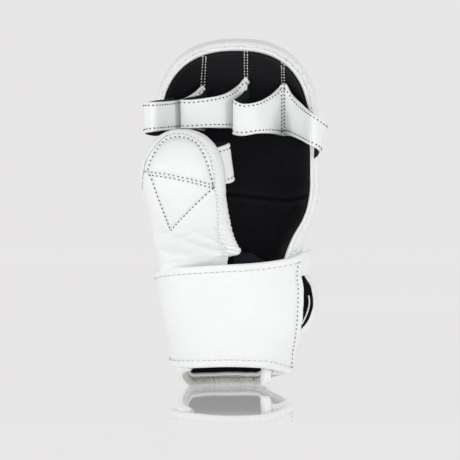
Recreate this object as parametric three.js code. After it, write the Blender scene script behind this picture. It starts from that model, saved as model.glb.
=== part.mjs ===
// A padded sparring glove for the left hand, palm side towards -Y, fingers up, standing on its cuff.
// Millimetres, +Z up. The origin is the centre of the glove's box, on the surface that it stands on.
//
// The hand shell is a thick dish, open towards the palm, whose round top end curls over the fingers.
// Four leather loops hold the fingers against its lining. The thumb has a smaller padded cover, open
// at its back. Below the hand a padded cuff goes round the back of the wrist, and a wide strap closes it.

import * as THREE from "three";
import { mergeVertices } from "three/addons/utils/BufferGeometryUtils.js";

// Overall sizes.
const GLOVE_HEIGHT = 268.5; // hem to the top of the knuckle pad
const CUFF_HEIGHT = 87.5; // hem to the seam between the cuff and the hand shell
const FINGER_LINE = 198.5; // height where the sides of the shell turn into its round top end
const SHELL_HALF_WIDTH = 65; // axis of the hand to the side of the shell
const SHELL_AXIS_X = 4; // the hand's axis, to the right of the strap's middle
const HAND_DEPTH = 65; // side seam plane to the back of the knuckle pad
const CUFF_HALF_WIDTH = 60; // axis of the wrist to the side of the cuff, at its widest
const CUFF_BACK = 38; // wrist centre to the back of the cuff
const CUFF_FRONT = 30; // wrist centre to the front of the cuff's two ends
const WRIST_Y = 6; // wrist centre behind the side seam plane

// Thumb sizes.
const THUMB_X = -37; // the thumb's axis
const THUMB_FOOT = 93.3; // height where the thumb cover starts, at the strap's top edge
const THUMB_KNUCKLE = 156.3; // height where its sides turn into the round tip
const THUMB_TIP = 38.4; // length of the round tip
const THUMB_HALF_WIDTH = 32;
const THUMB_REACH = 65; // side seam plane to the front of the thumb cover
const THUMB_EDGE = 6; // thickness of the cover's edge

// Sheet and trim sizes.
const LINING_THICKNESS = 1.7;
const LOOP_LEATHER = 2.2; // finger loop, leather and its black backing
const LOOP_REACH = 34; // how far a finger loop stands out in front of the lining
const LOOP_HEIGHT = 25; // width of the loop strip at the front of a finger
const CUFF_WALL = 8; // padded cuff
const HEM_HEIGHT = 8; // leather edging under the cuff
const STRAP_THICKNESS = 3.4;
const STRAP_EDGE = 5.6; // height of the rolled edging along the strap
const STRAP_EDGE_BULGE = 0.7; // how far that edging is thicker than the strap, on its outer side
const GUSSET_THICKNESS = 1.8;
const GUSSET_RISE = 7.8; // how far the gusset shows above the strap
const PIPING_RADIUS = 1.2;
const BINDING_THICKNESS = 1.3;
const HOOK_PATCH_THICKNESS = 1.1;
const CLEARANCE = 0.4; // between pieces that are sewn or pressed together

// How round the sections are: 2 is an ellipse, more is squarer.
const BACK_SQUARENESS = 2.5;
const LINING_SQUARENESS = 3;
const TIP_SQUARENESS = 2.45;
const WRIST_SQUARENESS = 2.3;

// The hand shell's rim beside the lining, and the shell's outline, from the cuff seam (at 0) to the finger
// line (at 1). left and right are shares of SHELL_HALF_WIDTH, and the depths are shares of HAND_DEPTH.
const SHELL_RIM = [
  { at: 0, left: 0.66, right: 0.5, depthLeft: -0.09, depthRight: -0.25 },
  { at: 0.06, left: 0.67, right: 0.53, depthLeft: -0.09, depthRight: -0.25 },
  { at: 0.13, left: 0.69, right: 0.56, depthLeft: -0.09, depthRight: -0.24 },
  { at: 0.26, left: 0.74, right: 0.65, depthLeft: -0.09, depthRight: -0.2 },
  { at: 0.37, left: 0.77, right: 0.76, depthLeft: -0.09, depthRight: -0.15 },
  { at: 0.48, left: 0.8, right: 0.83, depthLeft: -0.09, depthRight: -0.12 },
  { at: 0.62, left: 0.83, right: 0.86, depthLeft: -0.09, depthRight: -0.1 },
  { at: 0.82, left: 0.87, right: 0.86, depthLeft: -0.1, depthRight: -0.1 },
  { at: 1, left: 0.9, right: 0.845, depthLeft: -0.12, depthRight: -0.12 },
];
const SHELL_OUTLINE = [
  { at: 0, left: 0.9, right: 0.86, depth: 0.09 },
  { at: 0.06, left: 0.9, right: 0.79, depth: 0.09 },
  { at: 0.13, left: 0.87, right: 0.78, depth: 0.1 },
  { at: 0.26, left: 0.89, right: 0.82, depth: 0.12 },
  { at: 0.37, left: 0.91, right: 0.9, depth: 0.14 },
  { at: 0.48, left: 0.93, right: 0.96, depth: 0.16 },
  { at: 0.62, left: 0.95, right: 0.995, depth: 0.18 },
  { at: 0.82, left: 0.98, right: 0.985, depth: 0.2 },
  { at: 1, left: 1, right: 0.992, depth: 0.21 },
];

// The lining and the back of the shell along the hand's axis, from the cuff seam (at 0) to the top (at 1).
const SHELL_SPINE = [
  { at: 0, lining: 0.47, back: 0.68 },
  { at: 0.16, lining: 0.48, back: 0.77 },
  { at: 0.32, lining: 0.5, back: 0.89 },
  { at: 0.48, lining: 0.49, back: 0.98 },
  { at: 0.61, lining: 0.41, back: 1 },
  { at: 0.71, lining: 0.3, back: 0.96 },
  { at: 0.81, lining: 0.12, back: 0.85 },
  { at: 0.9, lining: -0.1, back: 0.66 },
  { at: 1, lining: -0.31, back: 0.46 },
];

// The round top end: its rim and its outline, as shares of SHELL_HALF_WIDTH and of the top's own height.
const TOP_RIM = { left: 0.9, right: 0.845, height: 0.833, sideDepth: -0.12, topDepth: -0.46 };
const TOP_OUTLINE = { left: 1, right: 0.992, height: 1, sideDepth: 0.21, topDepth: -0.03 };

// The thumb cover's sides, from its foot (at 0) to its knuckle (at 1). left and right are shares of
// THUMB_HALF_WIDTH, and the depths are shares of THUMB_REACH.
const THUMB_SIDES = [
  { at: 0, left: 0.56, right: 1.08, sideLeft: -0.14, sideRight: -0.27, rimLeft: -0.08, rimRight: -0.2 },
  { at: 0.14, left: 0.62, right: 1.36, sideLeft: -0.18, sideRight: -0.33, rimLeft: -0.09, rimRight: -0.27 },
  { at: 0.28, left: 0.69, right: 1.22, sideLeft: -0.24, sideRight: -0.38, rimLeft: -0.1, rimRight: -0.32 },
  { at: 0.5, left: 0.76, right: 1.08, sideLeft: -0.32, sideRight: -0.48, rimLeft: -0.12, rimRight: -0.41 },
  { at: 0.7, left: 0.8, right: 1.0, sideLeft: -0.44, sideRight: -0.57, rimLeft: -0.16, rimRight: -0.49 },
  { at: 0.85, left: 0.85, right: 0.96, sideLeft: -0.57, sideRight: -0.62, rimLeft: -0.38, rimRight: -0.54 },
  { at: 1, left: 0.93, right: 0.945, sideLeft: -0.66, sideRight: -0.66, rimLeft: -0.56, rimRight: -0.57 },
];
const THUMB_SPINE = [
  { at: 0, front: -0.25, hollow: -0.14 },
  { at: 0.1, front: -0.36, hollow: -0.24 },
  { at: 0.2, front: -0.52, hollow: -0.38 },
  { at: 0.34, front: -0.73, hollow: -0.57 },
  { at: 0.48, front: -0.87, hollow: -0.71 },
  { at: 0.62, front: -0.96, hollow: -0.8 },
  { at: 0.76, front: -1, hollow: -0.85 },
  { at: 0.88, front: -0.99, hollow: -0.84 },
  { at: 1, front: -0.93, hollow: -0.8 },
];
const THUMB_BINDING = { from: 0.25, to: 0.96, back: 0.19, front: 0.61 };
const THUMB_TIP_DEPTH = { side: -0.66, sideTop: -0.7, rim: -0.56, rimTop: -0.6 };

// The cuff by height, from the hem (at 0) to the seam (at 1), and past it behind the strap's top edge.
// left, right are shares of CUFF_HALF_WIDTH, and back is a share of CUFF_BACK.
const CUFF_SECTIONS = [
  { at: 0, left: 0.735, right: 0.665, back: 0.95 },
  { at: 0.168, left: 0.79, right: 0.69, back: 0.96 },
  { at: 0.292, left: 0.81, right: 0.74, back: 0.97 },
  { at: 0.427, left: 0.84, right: 0.85, back: 0.98 },
  { at: 0.52, left: 0.86, right: 0.94, back: 0.99 },
  { at: 0.624, left: 0.89, right: 1.01, back: 0.99 },
  { at: 0.749, left: 0.93, right: 1.035, back: 0.995 },
  { at: 0.874, left: 0.97, right: 1.01, back: 1 },
  { at: 1, left: 1, right: 0.93, back: 1 },
  { at: 1.26, left: 1.02, right: 0.89, back: 1 },
];
// How far the palm gusset shows above the strap, a share of GUSSET_RISE.
const GUSSET_EDGE = [
  { angle: -212, rise: -0.3 },
  { angle: -203, rise: 0 },
  { angle: -190, rise: 0.9 },
  { angle: -178, rise: 1 },
];
// Angles round the wrist, in degrees: 0 at the back, -90 left, 90 right, 180 at the front.
const CUFF_LEFT_END = -128;
const CUFF_RIGHT_END = 141;
const GUSSET_FROM = -212;
const GUSSET_TO = -178;
const CUFF_EDGING = 12; // angle that the edging of the cuff's right end takes
const STRAP_START = -24;
const STRAP_TAIL_END = -276; // the top edging runs on to the right side

// Where the strap ends by height, a share of CUFF_HEIGHT. -230 is the same place as 130, reached over
// the front.
const STRAP_ENDS = [
  { at: 0.125, angle: -247.5 },
  { at: 0.249, angle: -243.5 },
  { at: 0.404, angle: -235 },
  { at: 0.581, angle: -227.5 },
  { at: 0.726, angle: -226 },
  { at: 0.872, angle: -227.5 },
  { at: 1.143, angle: -235 },
];

// The hook patch: its edge towards the side, by height from its lower edge (at 0) to its upper edge (at 1).
const HOOK_PATCH = { from: 0.502, to: 0.966, inner: 140 };
const HOOK_PATCH_EDGE = [
  { at: 0, angle: 129 },
  { at: 0.2, angle: 121 },
  { at: 0.5, angle: 117 },
  { at: 0.8, angle: 119 },
  { at: 1, angle: 125 },
];

// How far the hem is off the surface round the wrist, and the strap's two edges, as shares of CUFF_HEIGHT.
// The glove stands on the back of its hem and on the edging of the cuff's right end.
// off tells where the strap lies over the hook patch instead of on the cuff.
const HEM_LIFT = [
  { angle: -140, lift: 0.18 },
  { angle: -100, lift: 0.12 },
  { angle: -84, lift: 0.06 },
  { angle: -62, lift: 0 },
  { angle: 24, lift: 0 },
  { angle: 48, lift: 0.07 },
  { angle: 90, lift: 0.11 },
  { angle: 141, lift: 0.13 },
];
const STRAP_EDGES = [
  { angle: -276, top: 1.195, bottom: 0.176, off: 1 },
  { angle: -258, top: 1.234, bottom: 0.148, off: 1 },
  { angle: -240, top: 1.205, bottom: 0.135, off: 1 },
  { angle: -222, top: 1.157, bottom: 0.164, off: 1 },
  { angle: -200, top: 1.12, bottom: 0.2, off: 1 },
  { angle: -175, top: 1.093, bottom: 0.21, off: 0.3 },
  { angle: -140, top: 1.067, bottom: 0.195, off: 0 },
  { angle: -100, top: 1.03, bottom: 0.19, off: 0 },
  { angle: -60, top: 1, bottom: 0.21, off: 0 },
  { angle: -24, top: 0.97, bottom: 0.24, off: 0 },
];

// Finger loops, each a strip seen from above. across is a share of SHELL_HALF_WIDTH from the hand's axis,
// and lean, where given, is how much further across its lower edge is. forward is a share of LOOP_REACH in front of the
// lining, and top and bottom are shares of LOOP_HEIGHT from the finger line.
const FINGER_LOOPS = {
  finger_loop_index: [
    { across: -0.75, forward: 0.12, top: 0.99, bottom: 0.02 },
    { across: -0.84, forward: 0.37, top: 0.91, bottom: -0.14 },
    { across: -0.97, forward: 0.38, top: 0.84, bottom: -0.23 },
    { across: -1.055, forward: 0.44, top: 0.79, bottom: -0.19 },
    { across: -1.06, forward: 0.64, top: 0.77, bottom: -0.16 },
    { across: -0.97, forward: 0.82, top: 0.75, bottom: -0.13 },
    { across: -0.8, forward: 0.84, top: 0.83, bottom: -0.05 },
    { across: -0.64, forward: 0.62, top: 0.95, bottom: 0.01 },
    { across: -0.5, forward: 0.23, top: 1.18, bottom: 0.06 },
    { across: -0.425, forward: 0.025, top: 1.36, bottom: 0.04 },
  ],
  finger_loop_middle: [
    { across: -0.37, forward: 0.025, top: 1.35, bottom: 0.04 },
    { across: -0.405, forward: 0.34, top: 1.14, bottom: 0.06 },
    { across: -0.585, forward: 0.78, top: 0.96, bottom: 0.03 },
    { across: -0.645, forward: 0.98, top: 0.88, bottom: 0 },
    { across: -0.54, forward: 1.08, top: 0.87, bottom: 0 },
    { across: -0.34, forward: 1.08, top: 0.94, bottom: 0.03 },
    { across: -0.12, forward: 0.84, top: 1.12, bottom: 0.04 },
    { across: 0.02, forward: 0.39, top: 1.42, bottom: 0.03 },
    { across: 0.09, forward: 0.025, top: 1.61, bottom: 0.05 },
  ],
  finger_loop_ring: [
    { across: 0.135, forward: 0.025, top: 1.57, bottom: 0.05 },
    { across: 0.13, forward: 0.37, top: 1.31, bottom: 0 },
    { across: 0, forward: 0.86, top: 0.98, bottom: -0.09 },
    { across: -0.035, forward: 1.03, top: 0.9, bottom: -0.17 },
    { across: 0.06, forward: 1.1, top: 0.77, bottom: -0.21 },
    { across: 0.22, forward: 1.04, top: 0.82, bottom: -0.14 },
    { across: 0.38, forward: 0.74, top: 1.05, bottom: -0.11 },
    { across: 0.49, forward: 0.3, top: 1.31, bottom: -0.12 },
    { across: 0.535, forward: 0.025, top: 1.43, bottom: -0.12 },
  ],
  finger_loop_little: [
    { across: 0.58, forward: 0.025, top: 1.41, bottom: -0.12 },
    { across: 0.65, forward: 0.34, top: 1.11, bottom: -0.18 },
    { across: 0.76, forward: 0.6, top: 0.75, bottom: -0.36 },
    { across: 0.88, lean: -0.01, forward: 0.61, top: 0.43, bottom: -0.55 },
    { across: 0.985, lean: -0.045, forward: 0.5, top: 0.24, bottom: -0.66 },
    { across: 1.035, lean: -0.08, forward: 0.36, top: 0.17, bottom: -0.71 },
    { across: 1.035, lean: -0.085, forward: 0.22, top: 0.14, bottom: -0.77 },
    { across: 0.985, lean: -0.05, forward: 0.13, top: 0.11, bottom: -0.83 },
    { across: 0.91, lean: -0.01, forward: 0.11, top: 0.09, bottom: -0.89 },
  ],
};

// The thumb loop: across is a share of THUMB_HALF_WIDTH from the thumb's axis, depth a share of THUMB_REACH,
// and top and bottom are shares of THUMB_TIP from the thumb's knuckle.
const THUMB_LOOP = [
  { across: 0.74, lean: 0.02, depth: -0.55, top: 0.68, bottom: 0.03 },
  { across: 0.96, lean: 0.06, depth: -0.47, top: 0.75, bottom: 0 },
  { across: 1.06, lean: 0.12, depth: -0.38, top: 0.8, bottom: 0.05 },
  { across: 1, lean: 0.12, depth: -0.26, top: 0.83, bottom: 0.15 },
  { across: 0.68, lean: 0.06, depth: -0.18, top: 0.83, bottom: 0.18 },
  { across: 0.1, depth: -0.15, top: 0.81, bottom: 0.21 },
  { across: -0.44, depth: -0.2, top: 0.79, bottom: 0.2 },
  { across: -0.72, depth: -0.34, top: 0.72, bottom: 0.14 },
  { across: -0.76, depth: -0.545, top: 0.66, bottom: 0.07 },
];

const colours = {
  leather: new THREE.MeshStandardMaterial({ color: 0xf1f2f1, roughness: 0.5, metalness: 0 }),
  edging: new THREE.MeshStandardMaterial({ color: 0xf3f3f1, roughness: 0.46, metalness: 0 }),
  lining: new THREE.MeshStandardMaterial({ color: 0x141518, roughness: 0.95, metalness: 0 }),
  elastic: new THREE.MeshStandardMaterial({ color: 0x1d1e24, roughness: 0.85, metalness: 0 }),
  hem: new THREE.MeshStandardMaterial({ color: 0xe4e2da, roughness: 0.55, metalness: 0 }),
};

const radians = THREE.MathUtils.degToRad;
const mix = THREE.MathUtils.lerp;

// One column of a table at a place between its rows, smooth and without overshoot.
function column(rows, name, place, key = "at") {
  const x = rows.map((row) => row[key]);
  const y = rows.map((row) => row[name]);
  const last = rows.length - 1;
  if (place <= x[0]) return y[0];
  if (place >= x[last]) return y[last];
  const slope = x.slice(1).map((value, i) => (y[i + 1] - y[i]) / (value - x[i]));
  const tangent = x.map((value, i) => {
    if (i === 0) return slope[0];
    if (i === last) return slope[last - 1];
    const product = slope[i - 1] * slope[i];
    return product <= 0 ? 0 : (2 * product) / (slope[i - 1] + slope[i]);
  });
  const i = x.findIndex((value) => value > place) - 1;
  const step = x[i + 1] - x[i];
  const t = (place - x[i]) / step;
  const [t2, t3] = [t * t, t * t * t];
  return (
    y[i] * (2 * t3 - 3 * t2 + 1) +
    tangent[i] * step * (t3 - 2 * t2 + t) +
    y[i + 1] * (3 * t2 - 2 * t3) +
    tangent[i + 1] * step * (t3 - t2)
  );
}

// cos and sin of a squared-off circle, which keep their sign.
const roundCos = (angle, squareness) => Math.sign(Math.cos(angle)) * Math.abs(Math.cos(angle)) ** (2 / squareness);
const roundSin = (angle, squareness) => Math.sign(Math.sin(angle)) * Math.abs(Math.sin(angle)) ** (2 / squareness);

// A closed solid between two sheets of the same grid. A zipped solid is folded along its last column,
// where its left and right halves meet, so it has no wall there.
function solidBetween(near, far, across, along, zipped = false) {
  const corners = [];
  const quad = (a, b, c, d) => corners.push(a, b, c, a, c, d);
  const grid = (sheet) =>
    across.map((s) => along.map((t) => sheet(s, t)));
  const [p, q] = [grid(near), grid(far)];
  const [rows, columns] = [across.length - 1, along.length - 1];
  for (let i = 0; i < rows; i += 1) {
    for (let j = 0; j < columns; j += 1) {
      quad(p[i][j], p[i + 1][j], p[i + 1][j + 1], p[i][j + 1]);
      quad(q[i][j], q[i][j + 1], q[i + 1][j + 1], q[i + 1][j]);
    }
    quad(p[i][0], q[i][0], q[i + 1][0], p[i + 1][0]);
    if (!zipped) quad(p[i + 1][columns], q[i + 1][columns], q[i][columns], p[i][columns]);
  }
  for (let j = 0; j < columns; j += 1) {
    quad(p[0][j + 1], q[0][j + 1], q[0][j], p[0][j]);
    quad(p[rows][j], q[rows][j], q[rows][j + 1], p[rows][j + 1]);
  }
  return closedGeometry(corners);
}

// Welds loose triangles, drops those that have collapsed, and turns the faces outwards.
function closedGeometry(corners) {
  const loose = new THREE.BufferGeometry().setFromPoints(corners);
  const welded = mergeVertices(loose, 1e-3);
  const index = welded.index.array;
  const place = welded.attributes.position;
  const kept = [];
  let volume = 0;
  const [a, b, c] = [new THREE.Vector3(), new THREE.Vector3(), new THREE.Vector3()];
  for (let i = 0; i < index.length; i += 3) {
    const [ia, ib, ic] = [index[i], index[i + 1], index[i + 2]];
    if (ia === ib || ib === ic || ia === ic) continue;
    kept.push(ia, ib, ic);
    a.fromBufferAttribute(place, ia);
    b.fromBufferAttribute(place, ib);
    c.fromBufferAttribute(place, ic);
    volume += a.dot(b.cross(c));
  }
  welded.setIndex(volume < 0 ? kept.reverse() : kept);
  welded.computeVertexNormals();
  return welded;
}

const within = (values, from, to) => values.filter((value) => value > from - 1e-6 && value < to + 1e-6);
const steps = (from, to, count) => Array.from({ length: count + 1 }, (_, i) => mix(from, to, i / count));

// A sheet moved against its own normal, for pieces that lie on the thumb cover's outer face.
function offsetSheet(sheet, distance) {
  const small = 1e-3;
  return (s, t) => {
    const alongS = sheet(s + small, t).sub(sheet(s - small, t));
    const alongT = sheet(s, t + small).sub(sheet(s, t - small));
    return sheet(s, t).addScaledVector(alongS.cross(alongT).normalize(), -distance);
  };
}

// A place round an open dish: 0 to sideShare goes up the left side, then over the round end, then down the right.
const SIDE_SHARE = 0.3;
function placeRound(s) {
  if (s < SIDE_SHARE) return { part: -1, at: s / SIDE_SHARE, angle: Math.PI };
  if (s > 1 - SIDE_SHARE) return { part: 1, at: (1 - s) / SIDE_SHARE, angle: 0 };
  return { part: 0, at: 1, angle: (Math.PI * (1 - SIDE_SHARE - s)) / (1 - 2 * SIDE_SHARE) };
}
const dishSteps = (sideCount, endCount) => [
  ...steps(0, SIDE_SHARE, sideCount),
  ...steps(SIDE_SHARE, 1 - SIDE_SHARE, endCount).slice(1),
  ...steps(1 - SIDE_SHARE, 1, sideCount).slice(1),
];

const shellRimDepth = (sideways, at) =>
  HAND_DEPTH * column(SHELL_RIM, sideways < 0 ? "depthLeft" : "depthRight", at);

// The hand shell's edge at a place round it: its rim next to the lining, its outline, and the axis beside it.
function shellEdge(s) {
  const { part, at, angle } = placeRound(s);
  const z = mix(CUFF_HEIGHT, FINGER_LINE, at);
  const axis = { x: SHELL_AXIS_X, z };
  if (part !== 0) {
    const side = part < 0 ? "left" : "right";
    const reach = (rows) => SHELL_AXIS_X + part * SHELL_HALF_WIDTH * column(rows, side, at);
    return {
      axis,
      rim: { x: reach(SHELL_RIM), z, y: shellRimDepth(part, at) },
      outline: { x: reach(SHELL_OUTLINE), z, y: HAND_DEPTH * column(SHELL_OUTLINE, "depth", at) },
    };
  }
  const half = (shape) => SHELL_HALF_WIDTH * (Math.cos(angle) < 0 ? shape.left : shape.right);
  const top = (shape) => ({
    x: SHELL_AXIS_X + half(shape) * roundCos(angle, TIP_SQUARENESS),
    z: FINGER_LINE + (GLOVE_HEIGHT - FINGER_LINE) * shape.height * roundSin(angle, TIP_SQUARENESS),
    y: HAND_DEPTH * mix(shape.sideDepth, shape.topDepth, Math.sin(angle) ** 1.5),
  });
  return { axis, rim: top(TOP_RIM), outline: top(TOP_OUTLINE) };
}
const shellSpine = (name, z) =>
  HAND_DEPTH * column(SHELL_SPINE, name, (z - CUFF_HEIGHT) / (GLOVE_HEIGHT - CUFF_HEIGHT));

// The shell's inner face, moved inwards by inset: t runs from the rim to the hand's axis.
function shellInside(inset, edgeInset = 0) {
  return (s, t) => {
    const { axis, rim } = shellEdge(s);
    const turn = (t * Math.PI) / 2;
    const out = roundCos(turn, LINING_SQUARENESS);
    const deep = roundSin(turn, LINING_SQUARENESS);
    const reach = Math.hypot(rim.x - axis.x, rim.z - axis.z);
    const scale = (out * (reach - inset)) / reach;
    const z = mix(axis.z, rim.z, scale);
    const y = mix(rim.y + edgeInset, shellSpine("lining", z) - inset, deep);
    return new THREE.Vector3(mix(axis.x, rim.x, scale), y, z);
  };
}

// Rows from the rim to the hand's axis: first round the rolled edge, then over the back.
const LIP_SHARE = 0.3;
const dishRows = (edgeCount, backCount) => [
  ...steps(0, LIP_SHARE, edgeCount),
  ...steps(LIP_SHARE, 1, backCount).slice(1),
];

// The shell's outer face: the edge rolls from the rim out to the outline, then the back closes over the hand.
function shellOutside(s, t) {
  const { axis, rim, outline } = shellEdge(s);
  if (t < LIP_SHARE) {
    const turn = ((t / LIP_SHARE) * Math.PI) / 2;
    return new THREE.Vector3(
      mix(rim.x, outline.x, Math.sin(turn)),
      mix(outline.y, rim.y, Math.cos(turn)),
      mix(rim.z, outline.z, Math.sin(turn)),
    );
  }
  const turn = (((t - LIP_SHARE) / (1 - LIP_SHARE)) * Math.PI) / 2;
  const out = roundCos(turn, BACK_SQUARENESS);
  const z = mix(axis.z, outline.z, out);
  const y = mix(outline.y, shellSpine("back", z), roundSin(turn, BACK_SQUARENESS));
  return new THREE.Vector3(mix(axis.x, outline.x, out), y, z);
}

// Depth of the lining's face at a point seen from the palm, for what is sewn to it.
function liningDepth(x, z) {
  const sideways = x - SHELL_AXIS_X;
  const inset = CLEARANCE + LINING_THICKNESS;
  let share;
  let rimDepth;
  if (z <= FINGER_LINE) {
    const at = (z - CUFF_HEIGHT) / (FINGER_LINE - CUFF_HEIGHT);
    const half = SHELL_HALF_WIDTH * column(SHELL_RIM, sideways < 0 ? "left" : "right", at);
    share = Math.abs(sideways) / (half - inset);
    rimDepth = shellRimDepth(sideways, at);
  } else {
    const half = SHELL_HALF_WIDTH * (sideways < 0 ? TOP_RIM.left : TOP_RIM.right) - inset;
    const high = (GLOVE_HEIGHT - FINGER_LINE) * TOP_RIM.height - inset;
    const [u, v] = [Math.abs(sideways) / half, (z - FINGER_LINE) / high];
    share = (u ** TIP_SQUARENESS + v ** TIP_SQUARENESS) ** (1 / TIP_SQUARENESS);
    const turn = Math.atan2(v ** (TIP_SQUARENESS / 2), u ** (TIP_SQUARENESS / 2));
    rimDepth = HAND_DEPTH * mix(TOP_RIM.sideDepth, TOP_RIM.topDepth, Math.sin(turn) ** 1.5);
  }
  const deep = share >= 1 ? 0 : (1 - share ** LINING_SQUARENESS) ** (1 / LINING_SQUARENESS);
  return mix(rimDepth, shellSpine("lining", z) - inset, deep);
}

// The thumb cover is the same kind of dish, turned round: its padding faces the palm side.
function thumbEdge(s, inset) {
  const { part, at, angle } = placeRound(s);
  const z = mix(THUMB_FOOT, THUMB_KNUCKLE, at);
  const axis = { x: THUMB_X, z };
  const share = (name) => column(THUMB_SIDES, name, at);
  if (part !== 0) {
    const side = part < 0 ? "Left" : "Right";
    const reach = THUMB_HALF_WIDTH * share(side.toLowerCase());
    return {
      axis,
      outline: { x: THUMB_X + part * reach, z, y: THUMB_REACH * share("side" + side) },
      rim: { x: THUMB_X + part * (reach - inset), z, y: THUMB_REACH * share("rim" + side) },
    };
  }
  const half = THUMB_HALF_WIDTH * column(THUMB_SIDES, Math.cos(angle) < 0 ? "left" : "right", 1);
  const tip = (less, side, middle) => ({
    x: THUMB_X + (half - less) * roundCos(angle, TIP_SQUARENESS - 0.2),
    z: THUMB_KNUCKLE + (THUMB_TIP - less) * roundSin(angle, TIP_SQUARENESS - 0.2),
    y: THUMB_REACH * mix(side, middle, Math.sin(angle)),
  });
  return {
    axis,
    outline: tip(0, THUMB_TIP_DEPTH.side, THUMB_TIP_DEPTH.sideTop),
    rim: tip(inset, THUMB_TIP_DEPTH.rim, THUMB_TIP_DEPTH.rimTop),
  };
}
const thumbSpine = (name, z) =>
  THUMB_REACH * column(THUMB_SPINE, name, (z - THUMB_FOOT) / (THUMB_KNUCKLE + THUMB_TIP - THUMB_FOOT));

function thumbOutside(s, t) {
  const { axis, rim, outline } = thumbEdge(s, THUMB_EDGE);
  if (t < LIP_SHARE) {
    const turn = ((t / LIP_SHARE) * Math.PI) / 2;
    return new THREE.Vector3(
      mix(rim.x, outline.x, Math.sin(turn)),
      mix(outline.y, rim.y, Math.cos(turn)),
      mix(rim.z, outline.z, Math.sin(turn)),
    );
  }
  const turn = (((t - LIP_SHARE) / (1 - LIP_SHARE)) * Math.PI) / 2;
  const out = roundCos(turn, BACK_SQUARENESS);
  const z = mix(axis.z, outline.z, out);
  const y = mix(outline.y, thumbSpine("front", z), roundSin(turn, BACK_SQUARENESS));
  return new THREE.Vector3(mix(axis.x, outline.x, out), y, z);
}
function thumbInside(inset) {
  return (s, t) => {
    const { axis, rim } = thumbEdge(s, THUMB_EDGE);
    const turn = (t * Math.PI) / 2;
    const reach = Math.hypot(rim.x - axis.x, rim.z - axis.z);
    const scale = (roundCos(turn, LINING_SQUARENESS) * (reach - inset)) / reach;
    const z = mix(axis.z, rim.z, scale);
    const y = mix(rim.y - inset, thumbSpine("hollow", z) + inset, roundSin(turn, LINING_SQUARENESS));
    return new THREE.Vector3(mix(axis.x, rim.x, scale), y, z);
  };
}

// A point on the wrist's outline at an angle and a height, moved out by distance.
function wristPoint(degrees, z, distance) {
  const angle = radians(degrees);
  const at = z / CUFF_HEIGHT;
  const side = Math.sin(angle) < 0 ? "left" : "right";
  const half = CUFF_HALF_WIDTH * column(CUFF_SECTIONS, side, at) + distance;
  const back = CUFF_BACK * column(CUFF_SECTIONS, "back", at) + distance;
  const deep = Math.cos(angle) < 0 ? CUFF_FRONT + distance : back;
  return new THREE.Vector3(
    SHELL_AXIS_X + half * roundSin(angle, WRIST_SQUARENESS),
    WRIST_Y + deep * roundCos(angle, WRIST_SQUARENESS),
    z,
  );
}
const GUSSET_FOOT = 0.83 * CUFF_HEIGHT;
const gussetTop = (degrees) => strapTop(degrees) + GUSSET_RISE * column(GUSSET_EDGE, "rise", degrees, "angle");
const hemLift = (degrees) => CUFF_HEIGHT * column(HEM_LIFT, "lift", degrees, "angle");
const strapTop = (degrees) => CUFF_HEIGHT * column(STRAP_EDGES, "top", degrees, "angle");
const strapBottom = (degrees) => CUFF_HEIGHT * column(STRAP_EDGES, "bottom", degrees, "angle");

// A wall round the wrist between two distances, whose edges are heights that follow the angle.
function wristWall(from, to, count, low, high, rows, inner, outer) {
  const sheet = (distance) => (degrees, t) =>
    wristPoint(degrees, mix(low(degrees), high(degrees), t), distance);
  return solidBetween(sheet(inner), sheet(outer), steps(from, to, count), steps(0, 1, rows));
}

// A strip of leather on edge: each row of points gives its middle line at the top and at the bottom.
function strip(rows, place, thickness, count) {
  const line = (edge) => new THREE.CatmullRomCurve3(rows.map((row) => place(row, edge)), false, "centripetal");
  const [upper, lower] = [line("top"), line("bottom")];
  const middle = (u, v) => lower.getPoint(u).lerp(upper.getPoint(u), v);
  const small = 1e-3;
  const face = (distance) => (u, v) => {
    const ahead = middle(Math.min(u + small, 1), v).sub(middle(Math.max(u - small, 0), v));
    const normal = ahead.cross(upper.getPoint(u).sub(lower.getPoint(u))).normalize();
    return middle(u, v).addScaledVector(normal, distance);
  };
  return solidBetween(face(-thickness / 2), face(thickness / 2), steps(0, 1, count), steps(0, 1, 2));
}

const SHELL_STEPS = dishSteps(8, 18);
const SHELL_ROWS = dishRows(3, 8);
const THUMB_STEPS = dishSteps(7, 14);
const THUMB_ROWS = dishRows(3, 7);

function handShell() {
  return solidBetween(shellInside(0), shellOutside, SHELL_STEPS, SHELL_ROWS, true);
}

function shellLining() {
  const sheet = (inset) => shellInside(inset, CLEARANCE + PIPING_RADIUS / 2);
  return solidBetween(sheet(CLEARANCE), sheet(CLEARANCE + LINING_THICKNESS), SHELL_STEPS, SHELL_ROWS, true);
}

const thumbCover = () => solidBetween(thumbInside(0), thumbOutside, THUMB_STEPS, THUMB_ROWS, true);
const thumbLining = () =>
  solidBetween(
    thumbInside(CLEARANCE),
    thumbInside(CLEARANCE + LINING_THICKNESS),
    THUMB_STEPS,
    THUMB_ROWS,
    true,
  );

// The cord of white leather that is sewn along the shell's rim.
const PIPING_FROM = 0.14;
const PIPING_TO = 0.947;
const PIPING_SET_OUT = 0.13; // share of the edge's thickness
function rimPiping() {
  const points = steps(PIPING_FROM, PIPING_TO, 50).map((s) => {
    const { rim, outline } = shellEdge(s);
    return new THREE.Vector3(
      mix(rim.x, outline.x, PIPING_SET_OUT),
      rim.y - PIPING_RADIUS - CLEARANCE,
      mix(rim.z, outline.z, PIPING_SET_OUT),
    );
  });
  const section = new THREE.Shape().absarc(0, 0, PIPING_RADIUS, 0, 2 * Math.PI);
  return new THREE.ExtrudeGeometry(section, {
    extrudePath: new THREE.CatmullRomCurve3(points),
    steps: 50,
    curveSegments: 4,
    bevelEnabled: false,
  });
}

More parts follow.
